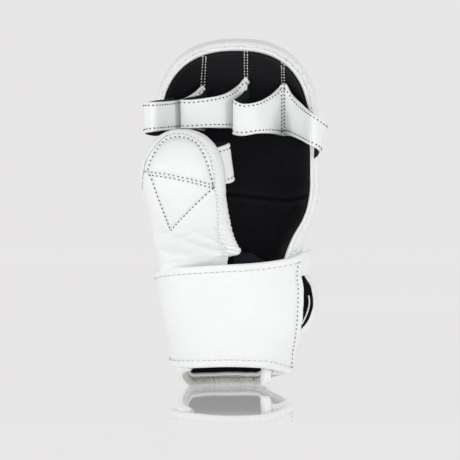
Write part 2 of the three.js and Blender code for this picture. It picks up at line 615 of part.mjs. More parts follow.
// Edging that is folded over the thumb cover's rolled edge, on the cover's own steps.
function thumbBinding() {
  return solidBetween(
    offsetSheet(thumbOutside, CLEARANCE),
    offsetSheet(thumbOutside, CLEARANCE + BINDING_THICKNESS),
    within(THUMB_STEPS, THUMB_BINDING.from, THUMB_BINDING.to),
    within(THUMB_ROWS, THUMB_BINDING.back, THUMB_BINDING.front),
  );
}

const leanOf = (row, edge) => (edge === "bottom" ? (row.lean ?? 0) : 0);
function loopPlace(row, edge) {
  const x = SHELL_AXIS_X + SHELL_HALF_WIDTH * (row.across + leanOf(row, edge));
  const z = FINGER_LINE + LOOP_HEIGHT * row[edge];
  const level = liningDepth(x, FINGER_LINE + LOOP_HEIGHT / 2);
  const base = mix(liningDepth(x, z), level, THREE.MathUtils.clamp(2.5 * row.forward - 0.25, 0, 1));
  return new THREE.Vector3(x, base - CLEARANCE - LOOP_LEATHER / 2 - LOOP_REACH * row.forward, z);
}

function thumbLoopPlace(row, edge) {
  return new THREE.Vector3(
    THUMB_X + THUMB_HALF_WIDTH * (row.across + leanOf(row, edge)),
    THUMB_REACH * row.depth,
    THUMB_KNUCKLE + THUMB_TIP * row[edge],
  );
}

// The strap's distance from the cuff: it lies on it, or on the hook patch.
const strapInner = (degrees) =>
  CLEARANCE + (HOOK_PATCH_THICKNESS + 2 * CLEARANCE) * column(STRAP_EDGES, "off", degrees, "angle");
const strapEndAngle = (z) => column(STRAP_ENDS, "angle", z / CUFF_HEIGHT);

// The strap goes from the back of the cuff round the left side and the front to its own end.
function strapWall(low, high, rows, bulge, end, count) {
  const sheet = (thickness) => (u, t) => {
    const nominal = mix(STRAP_START, -240, u);
    const degrees = mix(STRAP_START, end(mix(low(nominal), high(nominal), t)), u);
    return wristPoint(degrees, mix(low(degrees), high(degrees), t), strapInner(degrees) + thickness);
  };
  return solidBetween(sheet(0), sheet(STRAP_THICKNESS + bulge), steps(0, 1, count), steps(0, 1, rows));
}

const seamHeight = () => CUFF_HEIGHT - CLEARANCE;
const gussetFace = -CUFF_WALL - CLEARANCE;
const hemTop = (degrees) => hemLift(degrees) + HEM_HEIGHT;
const wallFoot = (degrees) => hemTop(degrees) + CLEARANCE;
const liningFace = -CUFF_WALL;

function hookPatch() {
  const z = (t) => CUFF_HEIGHT * mix(HOOK_PATCH.from, HOOK_PATCH.to, t);
  const sheet = (distance) => (u, t) =>
    wristPoint(mix(column(HOOK_PATCH_EDGE, "angle", t), HOOK_PATCH.inner, u), z(t), distance);
  return solidBetween(sheet(CLEARANCE), sheet(CLEARANCE + HOOK_PATCH_THICKNESS), steps(0, 1, 4), steps(0, 1, 6));
}

function piece(name, geometry, material) {
  const mesh = new THREE.Mesh(geometry, material);
  mesh.name = name;
  return mesh;
}

const glove = new THREE.Group();
glove.add(piece("hand_shell", handShell(), colours.leather));
glove.add(piece("shell_lining", shellLining(), colours.lining));
glove.add(piece("rim_piping", rimPiping(), colours.edging));
for (const [name, rows] of Object.entries(FINGER_LOOPS)) {
  glove.add(piece(name, strip(rows, loopPlace, LOOP_LEATHER, 24), colours.leather));
}

glove.add(piece("thumb_cover", thumbCover(), colours.leather));
glove.add(piece("thumb_lining", thumbLining(), colours.lining));
glove.add(piece("thumb_binding", thumbBinding(), colours.edging));
glove.add(piece("thumb_loop", strip(THUMB_LOOP, thumbLoopPlace, LOOP_LEATHER, 24), colours.leather));

// The cuff: padded wall, black lining, leather hem, and the edging of its right end.
const cuffPart = (low, high, rows, inner, outer) =>
  wristWall(CUFF_LEFT_END, CUFF_RIGHT_END, 28, low, high, rows, inner, outer);
const wallInner = liningFace + LINING_THICKNESS + CLEARANCE;
glove.add(piece("cuff", cuffPart(wallFoot, seamHeight, 6, wallInner, 0), colours.leather));
glove.add(
  piece("cuff_lining", cuffPart(wallFoot, seamHeight, 6, liningFace, wallInner - CLEARANCE), colours.lining),
);
glove.add(piece("cuff_hem", cuffPart(hemLift, hemTop, 1, liningFace, 0), colours.hem));
glove.add(
  piece(
    "cuff_end_edging",
    wristWall(CUFF_RIGHT_END + 1, CUFF_RIGHT_END + CUFF_EDGING, 3, () => 0, seamHeight, 6, liningFace, 0),
    colours.edging,
  ),
);
glove.add(piece("hook_patch", hookPatch(), colours.elastic));
glove.add(
  piece(
    "palm_gusset",
    wristWall(GUSSET_FROM, GUSSET_TO, 6, () => GUSSET_FOOT, gussetTop, 2, gussetFace - GUSSET_THICKNESS, gussetFace),
    colours.elastic,
  ),
);

const lowEdging = (degrees) => strapBottom(degrees) + STRAP_EDGE;
const highEdging = (degrees) => strapTop(degrees) - STRAP_EDGE;
const bodyLow = (degrees) => lowEdging(degrees) + CLEARANCE;
const bodyHigh = (degrees) => highEdging(degrees) - CLEARANCE;
glove.add(piece("wrist_strap", strapWall(bodyLow, bodyHigh, 6, 0, strapEndAngle, 30), colours.leather));
glove.add(
  piece(
    "strap_top_edging",
    strapWall(highEdging, strapTop, 1, STRAP_EDGE_BULGE, () => STRAP_TAIL_END, 40),
    colours.edging,
  ),
);
glove.add(
  piece(
    "strap_bottom_edging",
    strapWall(strapBottom, lowEdging, 1, STRAP_EDGE_BULGE, strapEndAngle, 34),
    colours.edging,
  ),
);

glove.updateMatrixWorld(true);
const box = new THREE.Box3().setFromObject(glove);
const middle = box.getCenter(new THREE.Vector3());
glove.position.set(-middle.x, -middle.y, -box.min.z);

export default glove;
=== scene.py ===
# %% [markdown]
# # A padded sparring glove, seen from its palm side
# The glove is a thick leather dish over the back of the hand, with four leather loops for the
# fingers, a smaller padded cover for the thumb, and a padded cuff that a wide strap closes.
# This lesson dresses the plain CAD solids of that glove: every piece of leather and fabric is
# made again on a fine grid of points, with rolled edges, puckers, seams and stitches.
# The CAD frame says where each piece sits, so it is loaded first and never moved.

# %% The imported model
import math
import bpy
import numpy as np
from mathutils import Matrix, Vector
from mathutils.bvhtree import BVHTree


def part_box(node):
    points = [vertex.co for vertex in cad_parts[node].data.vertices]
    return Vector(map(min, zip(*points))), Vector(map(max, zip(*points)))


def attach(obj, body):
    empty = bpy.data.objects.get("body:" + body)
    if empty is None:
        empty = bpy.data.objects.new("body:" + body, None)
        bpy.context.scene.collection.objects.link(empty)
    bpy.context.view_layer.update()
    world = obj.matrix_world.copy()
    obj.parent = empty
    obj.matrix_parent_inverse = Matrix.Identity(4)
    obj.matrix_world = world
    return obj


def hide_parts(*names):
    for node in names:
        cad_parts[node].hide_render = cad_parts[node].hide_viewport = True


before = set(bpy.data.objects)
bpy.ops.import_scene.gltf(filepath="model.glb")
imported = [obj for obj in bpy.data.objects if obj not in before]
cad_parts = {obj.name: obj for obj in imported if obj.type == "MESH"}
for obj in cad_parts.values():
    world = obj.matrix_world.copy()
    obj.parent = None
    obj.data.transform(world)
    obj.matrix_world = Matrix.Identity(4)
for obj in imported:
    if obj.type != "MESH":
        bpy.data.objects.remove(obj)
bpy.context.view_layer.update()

MM = 0.001
print("CAD nodes:", len(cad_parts))

# %% [markdown]
# ## The camera
# The photographed glove stands on a glossy table and the camera looks straight at it, level with
# the middle of the glove. The reflection tells this: it is the mirror image of the same view.
# A long lens from 1.3 m keeps the depth of the fingers calm, as in a catalogue picture.

# %% The camera
EYE = Vector((-3.663, -1300.255, 121.7)) * MM
SENSOR_WIDTH = 36.0
PIXELS_WIDE = 460
FOCAL_PIXELS = 1688.0
camera_data = bpy.data.cameras.new("camera")
camera_data.sensor_width = SENSOR_WIDTH
camera_data.lens = SENSOR_WIDTH * FOCAL_PIXELS / PIXELS_WIDE
camera_data.clip_end = 1000.0
camera = bpy.data.objects.new("camera", camera_data)
camera.location = EYE
camera.rotation_euler = (math.pi / 2, 0.0, 0.0)
bpy.context.scene.collection.objects.link(camera)
bpy.context.scene.camera = camera
print("lens", round(camera_data.lens, 1), "mm")

# %% [markdown]
# ## Sizes
# These are the sizes that the CAD solids were made with, in millimetres. The fine pieces follow
# the same curves, so they fill the same space. A short table gives each curve a few rows, and
# column() reads a column smoothly between its rows, without overshoot.

# %% Sizes of the glove
GLOVE_HEIGHT, CUFF_HEIGHT, FINGER_LINE = 268.5, 87.5, 198.5
SHELL_HALF_WIDTH, SHELL_AXIS_X, HAND_DEPTH = 65.0, 4.0, 65.0
CUFF_HALF_WIDTH, CUFF_BACK, CUFF_FRONT, WRIST_Y = 60.0, 38.0, 30.0, 6.0
THUMB_X, THUMB_FOOT, THUMB_KNUCKLE, THUMB_TIP = -37.0, 93.3, 156.3, 38.4
THUMB_HALF_WIDTH, THUMB_REACH, THUMB_EDGE = 32.0, 65.0, 6.0
LINING_THICKNESS, LOOP_LEATHER, LOOP_REACH, LOOP_HEIGHT = 1.7, 2.2, 34.0, 25.0
CUFF_WALL, HEM_HEIGHT, STRAP_THICKNESS, STRAP_EDGE = 8.0, 8.0, 3.4, 5.6
STRAP_EDGE_BULGE, GUSSET_THICKNESS, GUSSET_RISE = 0.7, 1.8, 7.8
PIPING_RADIUS, BINDING_THICKNESS, HOOK_PATCH_THICKNESS, CLEARANCE = 1.2, 1.3, 1.1, 0.4
BACK_SQUARENESS, LINING_SQUARENESS, TIP_SQUARENESS, WRIST_SQUARENESS = 2.5, 3.0, 2.45, 2.3
THUMB_SQUARENESS, TIP_BULGE = TIP_SQUARENESS - 0.2, 1.5
SIDE_SHARE = 0.3  # of a rim's run, for each of its two sides
LIP_SHARE = 0.3  # of the way in from a rim, for its rolled lip

# Places round the wrist are in degrees: 0 is at the back, and the left side is negative.
CUFF_LEFT_END, CUFF_RIGHT_END, CUFF_EDGING = -128.0, 141.0, 12.0
GUSSET_FROM, GUSSET_TO, STRAP_START, STRAP_END = -212.0, -178.0, -24.0, -240.0


# %% Tables and how they are read
def table(names, *rows):
    return {name: np.array(values, float) for name, values in zip(names.split(), zip(*rows))}


def column(rows, name, place, key="at"):
    x, y = rows[key], rows[name]
    slope = np.diff(y) / np.diff(x)
    product, total = slope[:-1] * slope[1:], slope[:-1] + slope[1:]
    inner = np.where(product > 0, 2 * product / np.where(product > 0, total, 1), 0)
    tangent = np.concatenate([slope[:1], inner, slope[-1:]])
    place = np.clip(np.asarray(place, float), x[0], x[-1])
    i = np.clip(np.searchsorted(x, place, side="right") - 1, 0, len(x) - 2)
    step = x[i + 1] - x[i]
    t = (place - x[i]) / step
    return (y[i] * (2 * t**3 - 3 * t**2 + 1) + tangent[i] * step * (t**3 - 2 * t**2 + t)
            + y[i + 1] * (3 * t**2 - 2 * t**3) + tangent[i + 1] * step * (t**3 - t**2))


SHELL_RIM = table(
    "at left right depth_left depth_right",
    (0, 0.66, 0.5, -0.09, -0.25), (0.06, 0.67, 0.53, -0.09, -0.25), (0.13, 0.69, 0.56, -0.09, -0.24),
    (0.26, 0.74, 0.65, -0.09, -0.2), (0.37, 0.77, 0.76, -0.09, -0.15), (0.48, 0.8, 0.83, -0.09, -0.12),
    (0.62, 0.83, 0.86, -0.09, -0.1), (0.82, 0.87, 0.86, -0.1, -0.1), (1, 0.9, 0.845, -0.12, -0.12))
SHELL_OUTLINE = table(
    "at left right depth",
    (0, 0.9, 0.86, 0.09), (0.06, 0.9, 0.79, 0.09), (0.13, 0.87, 0.78, 0.1), (0.26, 0.89, 0.82, 0.12),
    (0.37, 0.91, 0.9, 0.14), (0.48, 0.93, 0.96, 0.16), (0.62, 0.95, 0.995, 0.18),
    (0.82, 0.98, 0.985, 0.2), (1, 1, 0.992, 0.21))
SHELL_SPINE = table(
    "at lining back",
    (0, 0.47, 0.68), (0.16, 0.48, 0.77), (0.32, 0.5, 0.89), (0.48, 0.49, 0.98), (0.61, 0.41, 1),
    (0.71, 0.3, 0.96), (0.81, 0.12, 0.85), (0.9, -0.1, 0.66), (1, -0.31, 0.46))
TOP_RIM = {"left": 0.9, "right": 0.845, "height": 0.833, "side_depth": -0.12, "top_depth": -0.46}
TOP_OUTLINE = {"left": 1.0, "right": 0.992, "height": 1.0, "side_depth": 0.21, "top_depth": -0.03}
THUMB_SIDES = table(
    "at left right side_left side_right rim_left rim_right",
    (0, 0.56, 1.03, -0.14, -0.27, -0.08, -0.2),
    (0.145, 0.615, 1.08, -0.175, -0.32, -0.088, -0.26), (0.185, 0.64, 1.33, -0.18, -0.33, -0.09, -0.27),
    (0.28, 0.69, 1.22, -0.24, -0.38, -0.1, -0.32), (0.5, 0.76, 1.08, -0.32, -0.48, -0.12, -0.41),
    (0.7, 0.8, 1.0, -0.44, -0.57, -0.16, -0.49), (0.85, 0.85, 0.96, -0.57, -0.62, -0.38, -0.54),
    (1, 0.93, 0.945, -0.66, -0.66, -0.56, -0.57))
THUMB_SPINE = table(
    "at front hollow",
    (0, -0.25, -0.14), (0.1, -0.36, -0.24), (0.2, -0.52, -0.38), (0.34, -0.73, -0.57),
    (0.48, -0.87, -0.71), (0.62, -0.96, -0.8), (0.76, -1, -0.85), (0.88, -0.99, -0.84), (1, -0.93, -0.8))
THUMB_TIP_DEPTH = {"side": -0.66, "side_top": -0.7, "rim": -0.56, "rim_top": -0.6}
CUFF_SECTIONS = table(
    "at left right back",
    (0, 0.735, 0.665, 0.95), (0.168, 0.79, 0.69, 0.96), (0.292, 0.81, 0.74, 0.97),
    (0.427, 0.84, 0.85, 0.98), (0.52, 0.86, 0.94, 0.99), (0.624, 0.89, 1.01, 0.99),
    (0.749, 0.93, 1.035, 0.995), (0.874, 0.97, 1.01, 1), (1, 1, 0.93, 1), (1.26, 1.02, 0.89, 1))
GUSSET_EDGE = table("angle rise", (-212, -0.3), (-203, 0), (-190, 0.9), (-178, 1))
STRAP_ENDS = table(
    "at angle",
    (0.125, -247.5), (0.249, -243.5), (0.404, -235), (0.581, -227.5), (0.726, -226),
    (0.872, -227.5), (1.143, -235))
HOOK_PATCH = {"from": 0.49, "to": 1.02, "inner": 140.0}
HOOK_PATCH_EDGE = table("at angle", (0, 128), (0.2, 119), (0.5, 114), (0.8, 114), (1, 119))
HEM_LIFT = table(
    "angle lift",
    (-140, 0.18), (-100, 0.12), (-84, 0.06), (-62, 0), (24, 0), (48, 0.07), (90, 0.11), (141, 0.13))
STRAP_EDGES = table(
    "angle top bottom off",
    (-276, 1.195, 0.176, 1), (-258, 1.234, 0.148, 1), (-240, 1.205, 0.135, 1), (-222, 1.157, 0.164, 1),
    (-200, 1.12, 0.2, 1), (-175, 1.093, 0.21, 0.3), (-140, 1.067, 0.195, 0), (-100, 1.03, 0.19, 0),
    (-60, 1, 0.21, 0), (-24, 0.97, 0.24, 0))
FINGER_LOOPS = {
    "finger_loop_index": table(
        "across forward top bottom",
        (-0.75, 0.12, 0.99, 0.02), (-0.84, 0.37, 0.91, -0.14), (-0.97, 0.38, 0.84, -0.23),
        (-1.055, 0.44, 0.79, -0.19), (-1.06, 0.64, 0.77, -0.16), (-0.97, 0.82, 0.75, -0.13),
        (-0.8, 0.84, 0.83, -0.05), (-0.64, 0.62, 0.95, 0.01), (-0.5, 0.23, 1.18, 0.06),
        (-0.425, 0.03, 1.36, 0.04), (-0.4, 0.02, 1.38, 0.04)),
    "finger_loop_middle": table(
        "across forward top bottom",
        (-0.395, 0.02, 1.34, 0.04), (-0.38, 0.05, 1.28, 0.04), (-0.42, 0.34, 1.12, 0.06),
        (-0.585, 0.78, 0.96, 0.03), (-0.645, 0.98, 0.88, 0), (-0.54, 1.08, 0.87, 0),
        (-0.34, 1.08, 0.94, 0.03), (-0.12, 0.84, 1.12, 0.04), (0.02, 0.39, 1.42, 0.03),
        (0.09, 0.03, 1.61, 0.05), (0.111, 0.02, 1.63, 0.05)),
    "finger_loop_ring": table(
        "across forward top bottom",
        (0.114, 0.02, 1.6, 0.05), (0.128, 0.05, 1.54, 0.05), (0.097, 0.37, 1.28, 0), (0, 0.86, 0.98, -0.09),
        (-0.035, 1.03, 0.9, -0.17), (0.06, 1.1, 0.77, -0.21), (0.22, 1.04, 0.82, -0.14),
        (0.38, 0.74, 1.05, -0.11), (0.49, 0.3, 1.31, -0.12), (0.53, 0.06, 1.42, -0.12),
        (0.556, 0.02, 1.44, -0.12)),
    "finger_loop_little": table(
        "across lean forward top bottom",
        (0.559, 0, 0.02, 1.44, -0.12), (0.585, 0, 0.06, 1.4, -0.12), (0.65, 0, 0.34, 1.11, -0.18),
        (0.76, 0, 0.6, 0.75, -0.36), (0.88, -0.01, 0.61, 0.43, -0.55), (0.985, -0.045, 0.5, 0.24, -0.66),
        (1.035, -0.08, 0.36, 0.17, -0.71), (1.035, -0.085, 0.22, 0.14, -0.77),
        (0.985, -0.05, 0.13, 0.11, -0.83), (0.91, -0.01, 0.11, 0.09, -0.89)),
}
THUMB_LOOP = table(
    "across lean depth top bottom",
    (0.74, 0.02, -0.55, 0.68, 0.03), (0.96, 0.06, -0.47, 0.75, 0), (1.06, 0.12, -0.38, 0.8, 0.05),
    (1, 0.12, -0.26, 0.83, 0.15), (0.68, 0.06, -0.18, 0.83, 0.18), (0.1, 0, -0.15, 0.81, 0.21),
    (-0.44, 0, -0.2, 0.79, 0.2), (-0.72, 0, -0.34, 0.72, 0.14), (-0.76, 0, -0.545, 0.66, 0.07))
print("loops:", ", ".join(FINGER_LOOPS))

# %% [markdown]
# ## The curves of the glove
# A dish of leather can be described by two numbers: s runs along its rim, and t from the rim in
# to the hand's axis. Each function below turns such a pair into a point, for whole arrays at once.
# Sections are squared-off circles, because padding pulls leather rounder than a box but flatter
# than an ellipse. Subdivision modelling by hand would do too, but it couldn't be kept on the CAD.


# %% Rounding and mixing
def mix(a, b, share):
    return a + (b - a) * share


def round_cos(angle, squareness):
    value = np.cos(angle)
    return np.sign(value) * np.abs(value) ** (2 / squareness)


def round_sin(angle, squareness):
    value = np.sin(angle)
    return np.sign(value) * np.abs(value) ** (2 / squareness)


def points(x, y, z):
    return np.stack(np.broadcast_arrays(x, y, z), axis=-1).astype(float)


def place_round(s):
    left, right = s < SIDE_SHARE, s > 1 - SIDE_SHARE
    at = np.where(left, s / SIDE_SHARE, np.where(right, (1 - s) / SIDE_SHARE, 1.0))
    end = np.pi * (1 - SIDE_SHARE - s) / (1 - 2 * SIDE_SHARE)
    angle = np.where(left, np.pi, np.where(right, 0.0, np.clip(end, 0, np.pi)))
    return left, right, at, angle


# %% The hand shell's rim, outline, inside and outside
def shell_edge(s):
    left, right, at, angle = place_round(s)
    z = mix(CUFF_HEIGHT, FINGER_LINE, at)
    sign = np.where(left, -1.0, 1.0)
    to_left = np.cos(angle) < 0
    bulge = np.maximum(np.sin(angle), 0) ** TIP_BULGE

    def line(side_rows, top, side_depth):
        reach = np.where(left, column(side_rows, "left", at), column(side_rows, "right", at))
        half = SHELL_HALF_WIDTH * np.where(to_left, top["left"], top["right"])
        round_x = half * round_cos(angle, TIP_SQUARENESS)
        round_z = (GLOVE_HEIGHT - FINGER_LINE) * top["height"] * round_sin(angle, TIP_SQUARENESS)
        beside = left | right
        return (SHELL_AXIS_X + np.where(beside, sign * SHELL_HALF_WIDTH * reach, round_x),
                HAND_DEPTH * np.where(beside, side_depth, mix(top["side_depth"], top["top_depth"], bulge)),
                np.where(beside, z, FINGER_LINE + round_z))

    rim_depth = np.where(left, column(SHELL_RIM, "depth_left", at), column(SHELL_RIM, "depth_right", at))
    return z, line(SHELL_RIM, TOP_RIM, rim_depth), line(SHELL_OUTLINE, TOP_OUTLINE,
                                                        column(SHELL_OUTLINE, "depth", at))


def shell_spine(name, z):
    return HAND_DEPTH * column(SHELL_SPINE, name, (z - CUFF_HEIGHT) / (GLOVE_HEIGHT - CUFF_HEIGHT))


def shell_inside(inset, edge_inset=0.0):
    def sheet(s, t):
        axis_z, rim, _ = shell_edge(s)
        turn = t * np.pi / 2
        reach = np.hypot(rim[0] - SHELL_AXIS_X, rim[2] - axis_z)
        scale = round_cos(turn, LINING_SQUARENESS) * (reach - inset) / reach
        z = mix(axis_z, rim[2], scale)
        y = mix(rim[1] + edge_inset, shell_spine("lining", z) - inset, round_sin(turn, LINING_SQUARENESS))
        return points(mix(SHELL_AXIS_X, rim[0], scale), y, z)
    return sheet


def rolled_dish(edge, spine, axis_x):
    def sheet(s, t):
        axis_z, rim, outline = edge(s)
        lip = np.clip(t / LIP_SHARE, 0, 1) * np.pi / 2
        over = np.clip((t - LIP_SHARE) / (1 - LIP_SHARE), 0, 1) * np.pi / 2
        out = round_cos(over, BACK_SQUARENESS)
        z = mix(axis_z, outline[2], out)
        back = points(mix(axis_x, outline[0], out),
                      mix(outline[1], spine(z), round_sin(over, BACK_SQUARENESS)), z)
        roll = points(mix(rim[0], outline[0], np.sin(lip)), mix(outline[1], rim[1], np.cos(lip)),
                      mix(rim[2], outline[2], np.sin(lip)))
        return np.where((t < LIP_SHARE)[..., None], roll, back)
    return sheet


shell_outside = rolled_dish(shell_edge, lambda z: shell_spine("back", z), SHELL_AXIS_X)


# %% How deep the lining lies behind a point seen from the palm
def lining_depth(x, z):
    sideways, inset = x - SHELL_AXIS_X, CLEARANCE + LINING_THICKNESS
    at = (z - CUFF_HEIGHT) / (FINGER_LINE - CUFF_HEIGHT)
    left = sideways < 0
    half = SHELL_HALF_WIDTH * np.where(left, column(SHELL_RIM, "left", at), column(SHELL_RIM, "right", at))
    low_share = np.abs(sideways) / (half - inset)
    low_depth = HAND_DEPTH * np.where(left, column(SHELL_RIM, "depth_left", at),
                                      column(SHELL_RIM, "depth_right", at))
    wide = SHELL_HALF_WIDTH * np.where(left, TOP_RIM["left"], TOP_RIM["right"]) - inset
    high = (GLOVE_HEIGHT - FINGER_LINE) * TOP_RIM["height"] - inset
    u, v = np.abs(sideways) / wide, np.maximum(z - FINGER_LINE, 0) / high
    top_share = (u**TIP_SQUARENESS + v**TIP_SQUARENESS) ** (1 / TIP_SQUARENESS)
    turn = np.arctan2(v ** (TIP_SQUARENESS / 2), u ** (TIP_SQUARENESS / 2))
    top_depth = HAND_DEPTH * mix(TOP_RIM["side_depth"], TOP_RIM["top_depth"], np.sin(turn) ** TIP_BULGE)
    share = np.where(z <= FINGER_LINE, low_share, top_share)
    rim_depth = np.where(z <= FINGER_LINE, low_depth, top_depth)
    deep = np.maximum(1 - np.minimum(share, 1) ** LINING_SQUARENESS, 0) ** (1 / LINING_SQUARENESS)
    return mix(rim_depth, shell_spine("lining", z) - inset, deep)


# %% The thumb cover
def thumb_edge(s):
    left, right, at, angle = place_round(s)
    beside = left | right
    z = mix(THUMB_FOOT, THUMB_KNUCKLE, at)
    sign = np.where(left, -1.0, 1.0)

    def share(name):
        return np.where(left, column(THUMB_SIDES, name + "left", at), column(THUMB_SIDES, name + "right", at))

    reach = THUMB_HALF_WIDTH * share("")
    half = THUMB_HALF_WIDTH * np.where(np.cos(angle) < 0, column(THUMB_SIDES, "left", 1.0),
                                       column(THUMB_SIDES, "right", 1.0))

    def line(less, side_depth, low, high):
        x = np.where(beside, sign * (reach - less), (half - less) * round_cos(angle, THUMB_SQUARENESS))
        top = THUMB_KNUCKLE + (THUMB_TIP - less) * round_sin(angle, THUMB_SQUARENESS)
        depth = np.where(beside, side_depth, mix(low, high, np.sin(angle)))
        return THUMB_X + x, THUMB_REACH * depth, np.where(beside, z, top)

    rim = line(THUMB_EDGE, share("rim_"), THUMB_TIP_DEPTH["rim"], THUMB_TIP_DEPTH["rim_top"])
    outline = line(0.0, share("side_"), THUMB_TIP_DEPTH["side"], THUMB_TIP_DEPTH["side_top"])
    return z, rim, outline


def thumb_spine(name, z):
    return THUMB_REACH * column(THUMB_SPINE, name, (z - THUMB_FOOT) / (THUMB_KNUCKLE + THUMB_TIP - THUMB_FOOT))


thumb_outside = rolled_dish(thumb_edge, lambda z: thumb_spine("front", z), THUMB_X)


def thumb_inside(inset):
    def sheet(s, t):
        axis_z, rim, _ = thumb_edge(s)
        turn = t * np.pi / 2
        reach = np.hypot(rim[0] - THUMB_X, rim[2] - axis_z)
        scale = round_cos(turn, LINING_SQUARENESS) * (reach - inset) / reach
        z = mix(axis_z, rim[2], scale)
        y = mix(rim[1] - inset, thumb_spine("hollow", z) + inset, round_sin(turn, LINING_SQUARENESS))
        return points(mix(THUMB_X, rim[0], scale), y, z)
    return sheet


# %% The wrist, the hem and the strap
def wrist_point(degrees, z, distance):
    angle = np.radians(degrees)
    at = z / CUFF_HEIGHT
    side = np.where(np.sin(angle) < 0, column(CUFF_SECTIONS, "left", at), column(CUFF_SECTIONS, "right", at))
    back = CUFF_BACK * column(CUFF_SECTIONS, "back", at)
    deep = np.where(np.cos(angle) < 0, CUFF_FRONT, back) + distance
    return points(SHELL_AXIS_X + (CUFF_HALF_WIDTH * side + distance) * round_sin(angle, WRIST_SQUARENESS),
                  WRIST_Y + deep * round_cos(angle, WRIST_SQUARENESS), z)


def strap_top(degrees):
    return CUFF_HEIGHT * column(STRAP_EDGES, "top", degrees, "angle")


def strap_bottom(degrees):
    return CUFF_HEIGHT * column(STRAP_EDGES, "bottom", degrees, "angle")


def hem_lift(degrees):
    return CUFF_HEIGHT * column(HEM_LIFT, "lift", degrees, "angle")


def strap_off(degrees):
    return CLEARANCE + (HOOK_PATCH_THICKNESS + 2 * CLEARANCE) * column(STRAP_EDGES, "off", degrees, "angle")


def strap_end(z):
    return column(STRAP_ENDS, "angle", z / CUFF_HEIGHT)


def band(low, high, distance):
    return lambda degrees, t: wrist_point(degrees, mix(low(degrees), high(degrees), t), distance)


def strap_band(low, high, end, thickness):
    def sheet(u, t):
        nominal = mix(STRAP_START, STRAP_END, u)
        degrees = mix(STRAP_START, end(mix(low(nominal), high(nominal), t)), u)
        return wrist_point(degrees, mix(low(degrees), high(degrees), t), strap_off(degrees) + thickness)
    return sheet


# %% A strip of leather between two smooth lines
def smooth_line(places):
    ends = np.concatenate([[2 * places[0] - places[1]], places, [2 * places[-1] - places[-2]]])

    def at(u):
        share = np.asarray(u, float) * (len(places) - 1)
        i = np.clip(np.floor(share).astype(int), 0, len(places) - 2)
        w = (share - i)[..., None]
        p = [ends[i + k] for k in range(4)]
        d = [np.maximum(np.linalg.norm(p[k + 1] - p[k], axis=-1, keepdims=True) ** 0.5, 1e-4) for k in range(3)]
        first = ((p[1] - p[0]) / d[0] - (p[2] - p[0]) / (d[0] + d[1]) + (p[2] - p[1]) / d[1]) * d[1]
        last = ((p[2] - p[1]) / d[1] - (p[3] - p[1]) / (d[1] + d[2]) + (p[3] - p[2]) / d[2]) * d[1]
        return (p[1] + first * w + (-3 * p[1] + 3 * p[2] - 2 * first - last) * w**2
                + (2 * p[1] - 2 * p[2] + first + last) * w**3)
    return at


def strip_faces(upper, lower, thickness):
    small = 1e-3

    def middle(u, v):
        return lower(u) + (upper(u) - lower(u)) * v[..., None]

    def face(distance):
        def sheet(u, v):
            u, v = np.broadcast_arrays(u, v)
            ahead = middle(np.minimum(u + small, 1), v) - middle(np.maximum(u - small, 0), v)
            normal = np.cross(ahead, upper(u) - lower(u))
            return middle(u, v) + normal / np.linalg.norm(normal, axis=-1, keepdims=True) * distance
        return sheet
    return face(-thickness / 2), face(thickness / 2)


def loop_line(rows, edge):
    across = rows["across"] + (rows.get("lean", 0) if edge == "bottom" else 0)
    x = SHELL_AXIS_X + SHELL_HALF_WIDTH * across
    z = FINGER_LINE + LOOP_HEIGHT * rows[edge]
    level = lining_depth(x, np.full_like(x, FINGER_LINE + LOOP_HEIGHT / 2))
    base = mix(lining_depth(x, z), level, np.clip(2.5 * rows["forward"] - 0.25, 0, 1))
    return smooth_line(points(x, base - CLEARANCE - LOOP_LEATHER / 2 - LOOP_REACH * rows["forward"], z))


def thumb_loop_line(edge):
    across = THUMB_LOOP["across"] + (THUMB_LOOP["lean"] if edge == "bottom" else 0)
    return smooth_line(points(THUMB_X + THUMB_HALF_WIDTH * across, THUMB_REACH * THUMB_LOOP["depth"],
                              THUMB_KNUCKLE + THUMB_TIP * THUMB_LOOP[edge]))


# %% Where the CAD put the part's origin
def dish_steps(side_count, end_count):
    return np.concatenate([np.linspace(0, SIDE_SHARE, side_count + 1),
                           np.linspace(SIDE_SHARE, 1 - SIDE_SHARE, end_count + 1)[1:],
                           np.linspace(1 - SIDE_SHARE, 1, side_count + 1)[1:]])


coarse = shell_outside(*np.meshgrid(dish_steps(8, 18), np.linspace(0, 1, 41), indexing="ij"))
shell_low, shell_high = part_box("hand_shell")
SHIFT = np.array([(shell_low.x + shell_high.x) / 2 / MM, shell_low.y / MM, 0.0])
SHIFT -= [(coarse[..., 0].min() + coarse[..., 0].max()) / 2, coarse[..., 1].min(), 0.0]
print("shift of the part's origin, mm:", SHIFT.round(3))

# %% [markdown]
# ## Noise for folds and puckers
# Real leather isn't even: gathered edges pucker at unequal steps and padding swells unevenly.
# A small value noise gives that, made from a table of random numbers with a fixed seed, so that
# every run makes the same glove. Displace modifiers with textures would do the same, but here
# the relief is worked out in millimetres along the leather.


# %% Smooth noise and seam-like valleys
NOISE_SIZE = 97  # random numbers a side, after which the noise repeats


def noise(x, y, seed):
    grid = np.random.default_rng(seed).uniform(-1, 1, (NOISE_SIZE, NOISE_SIZE))
    x, y = np.broadcast_arrays(np.asarray(x, float), np.asarray(y, float))
    xi, yi = np.floor(x).astype(int), np.floor(y).astype(int)
    fx, fy = x - xi, y - yi
    fx, fy = fx * fx * (3 - 2 * fx), fy * fy * (3 - 2 * fy)
    left, right, low, high = xi % NOISE_SIZE, (xi + 1) % NOISE_SIZE, yi % NOISE_SIZE, (yi + 1) % NOISE_SIZE
    a, b, c, d = grid[left, low], grid[right, low], grid[left, high], grid[right, high]
    return mix(mix(a, b, fx), mix(c, d, fx), fy)


def valley(distance, width):
    return -np.exp(-((distance / width) ** 2))


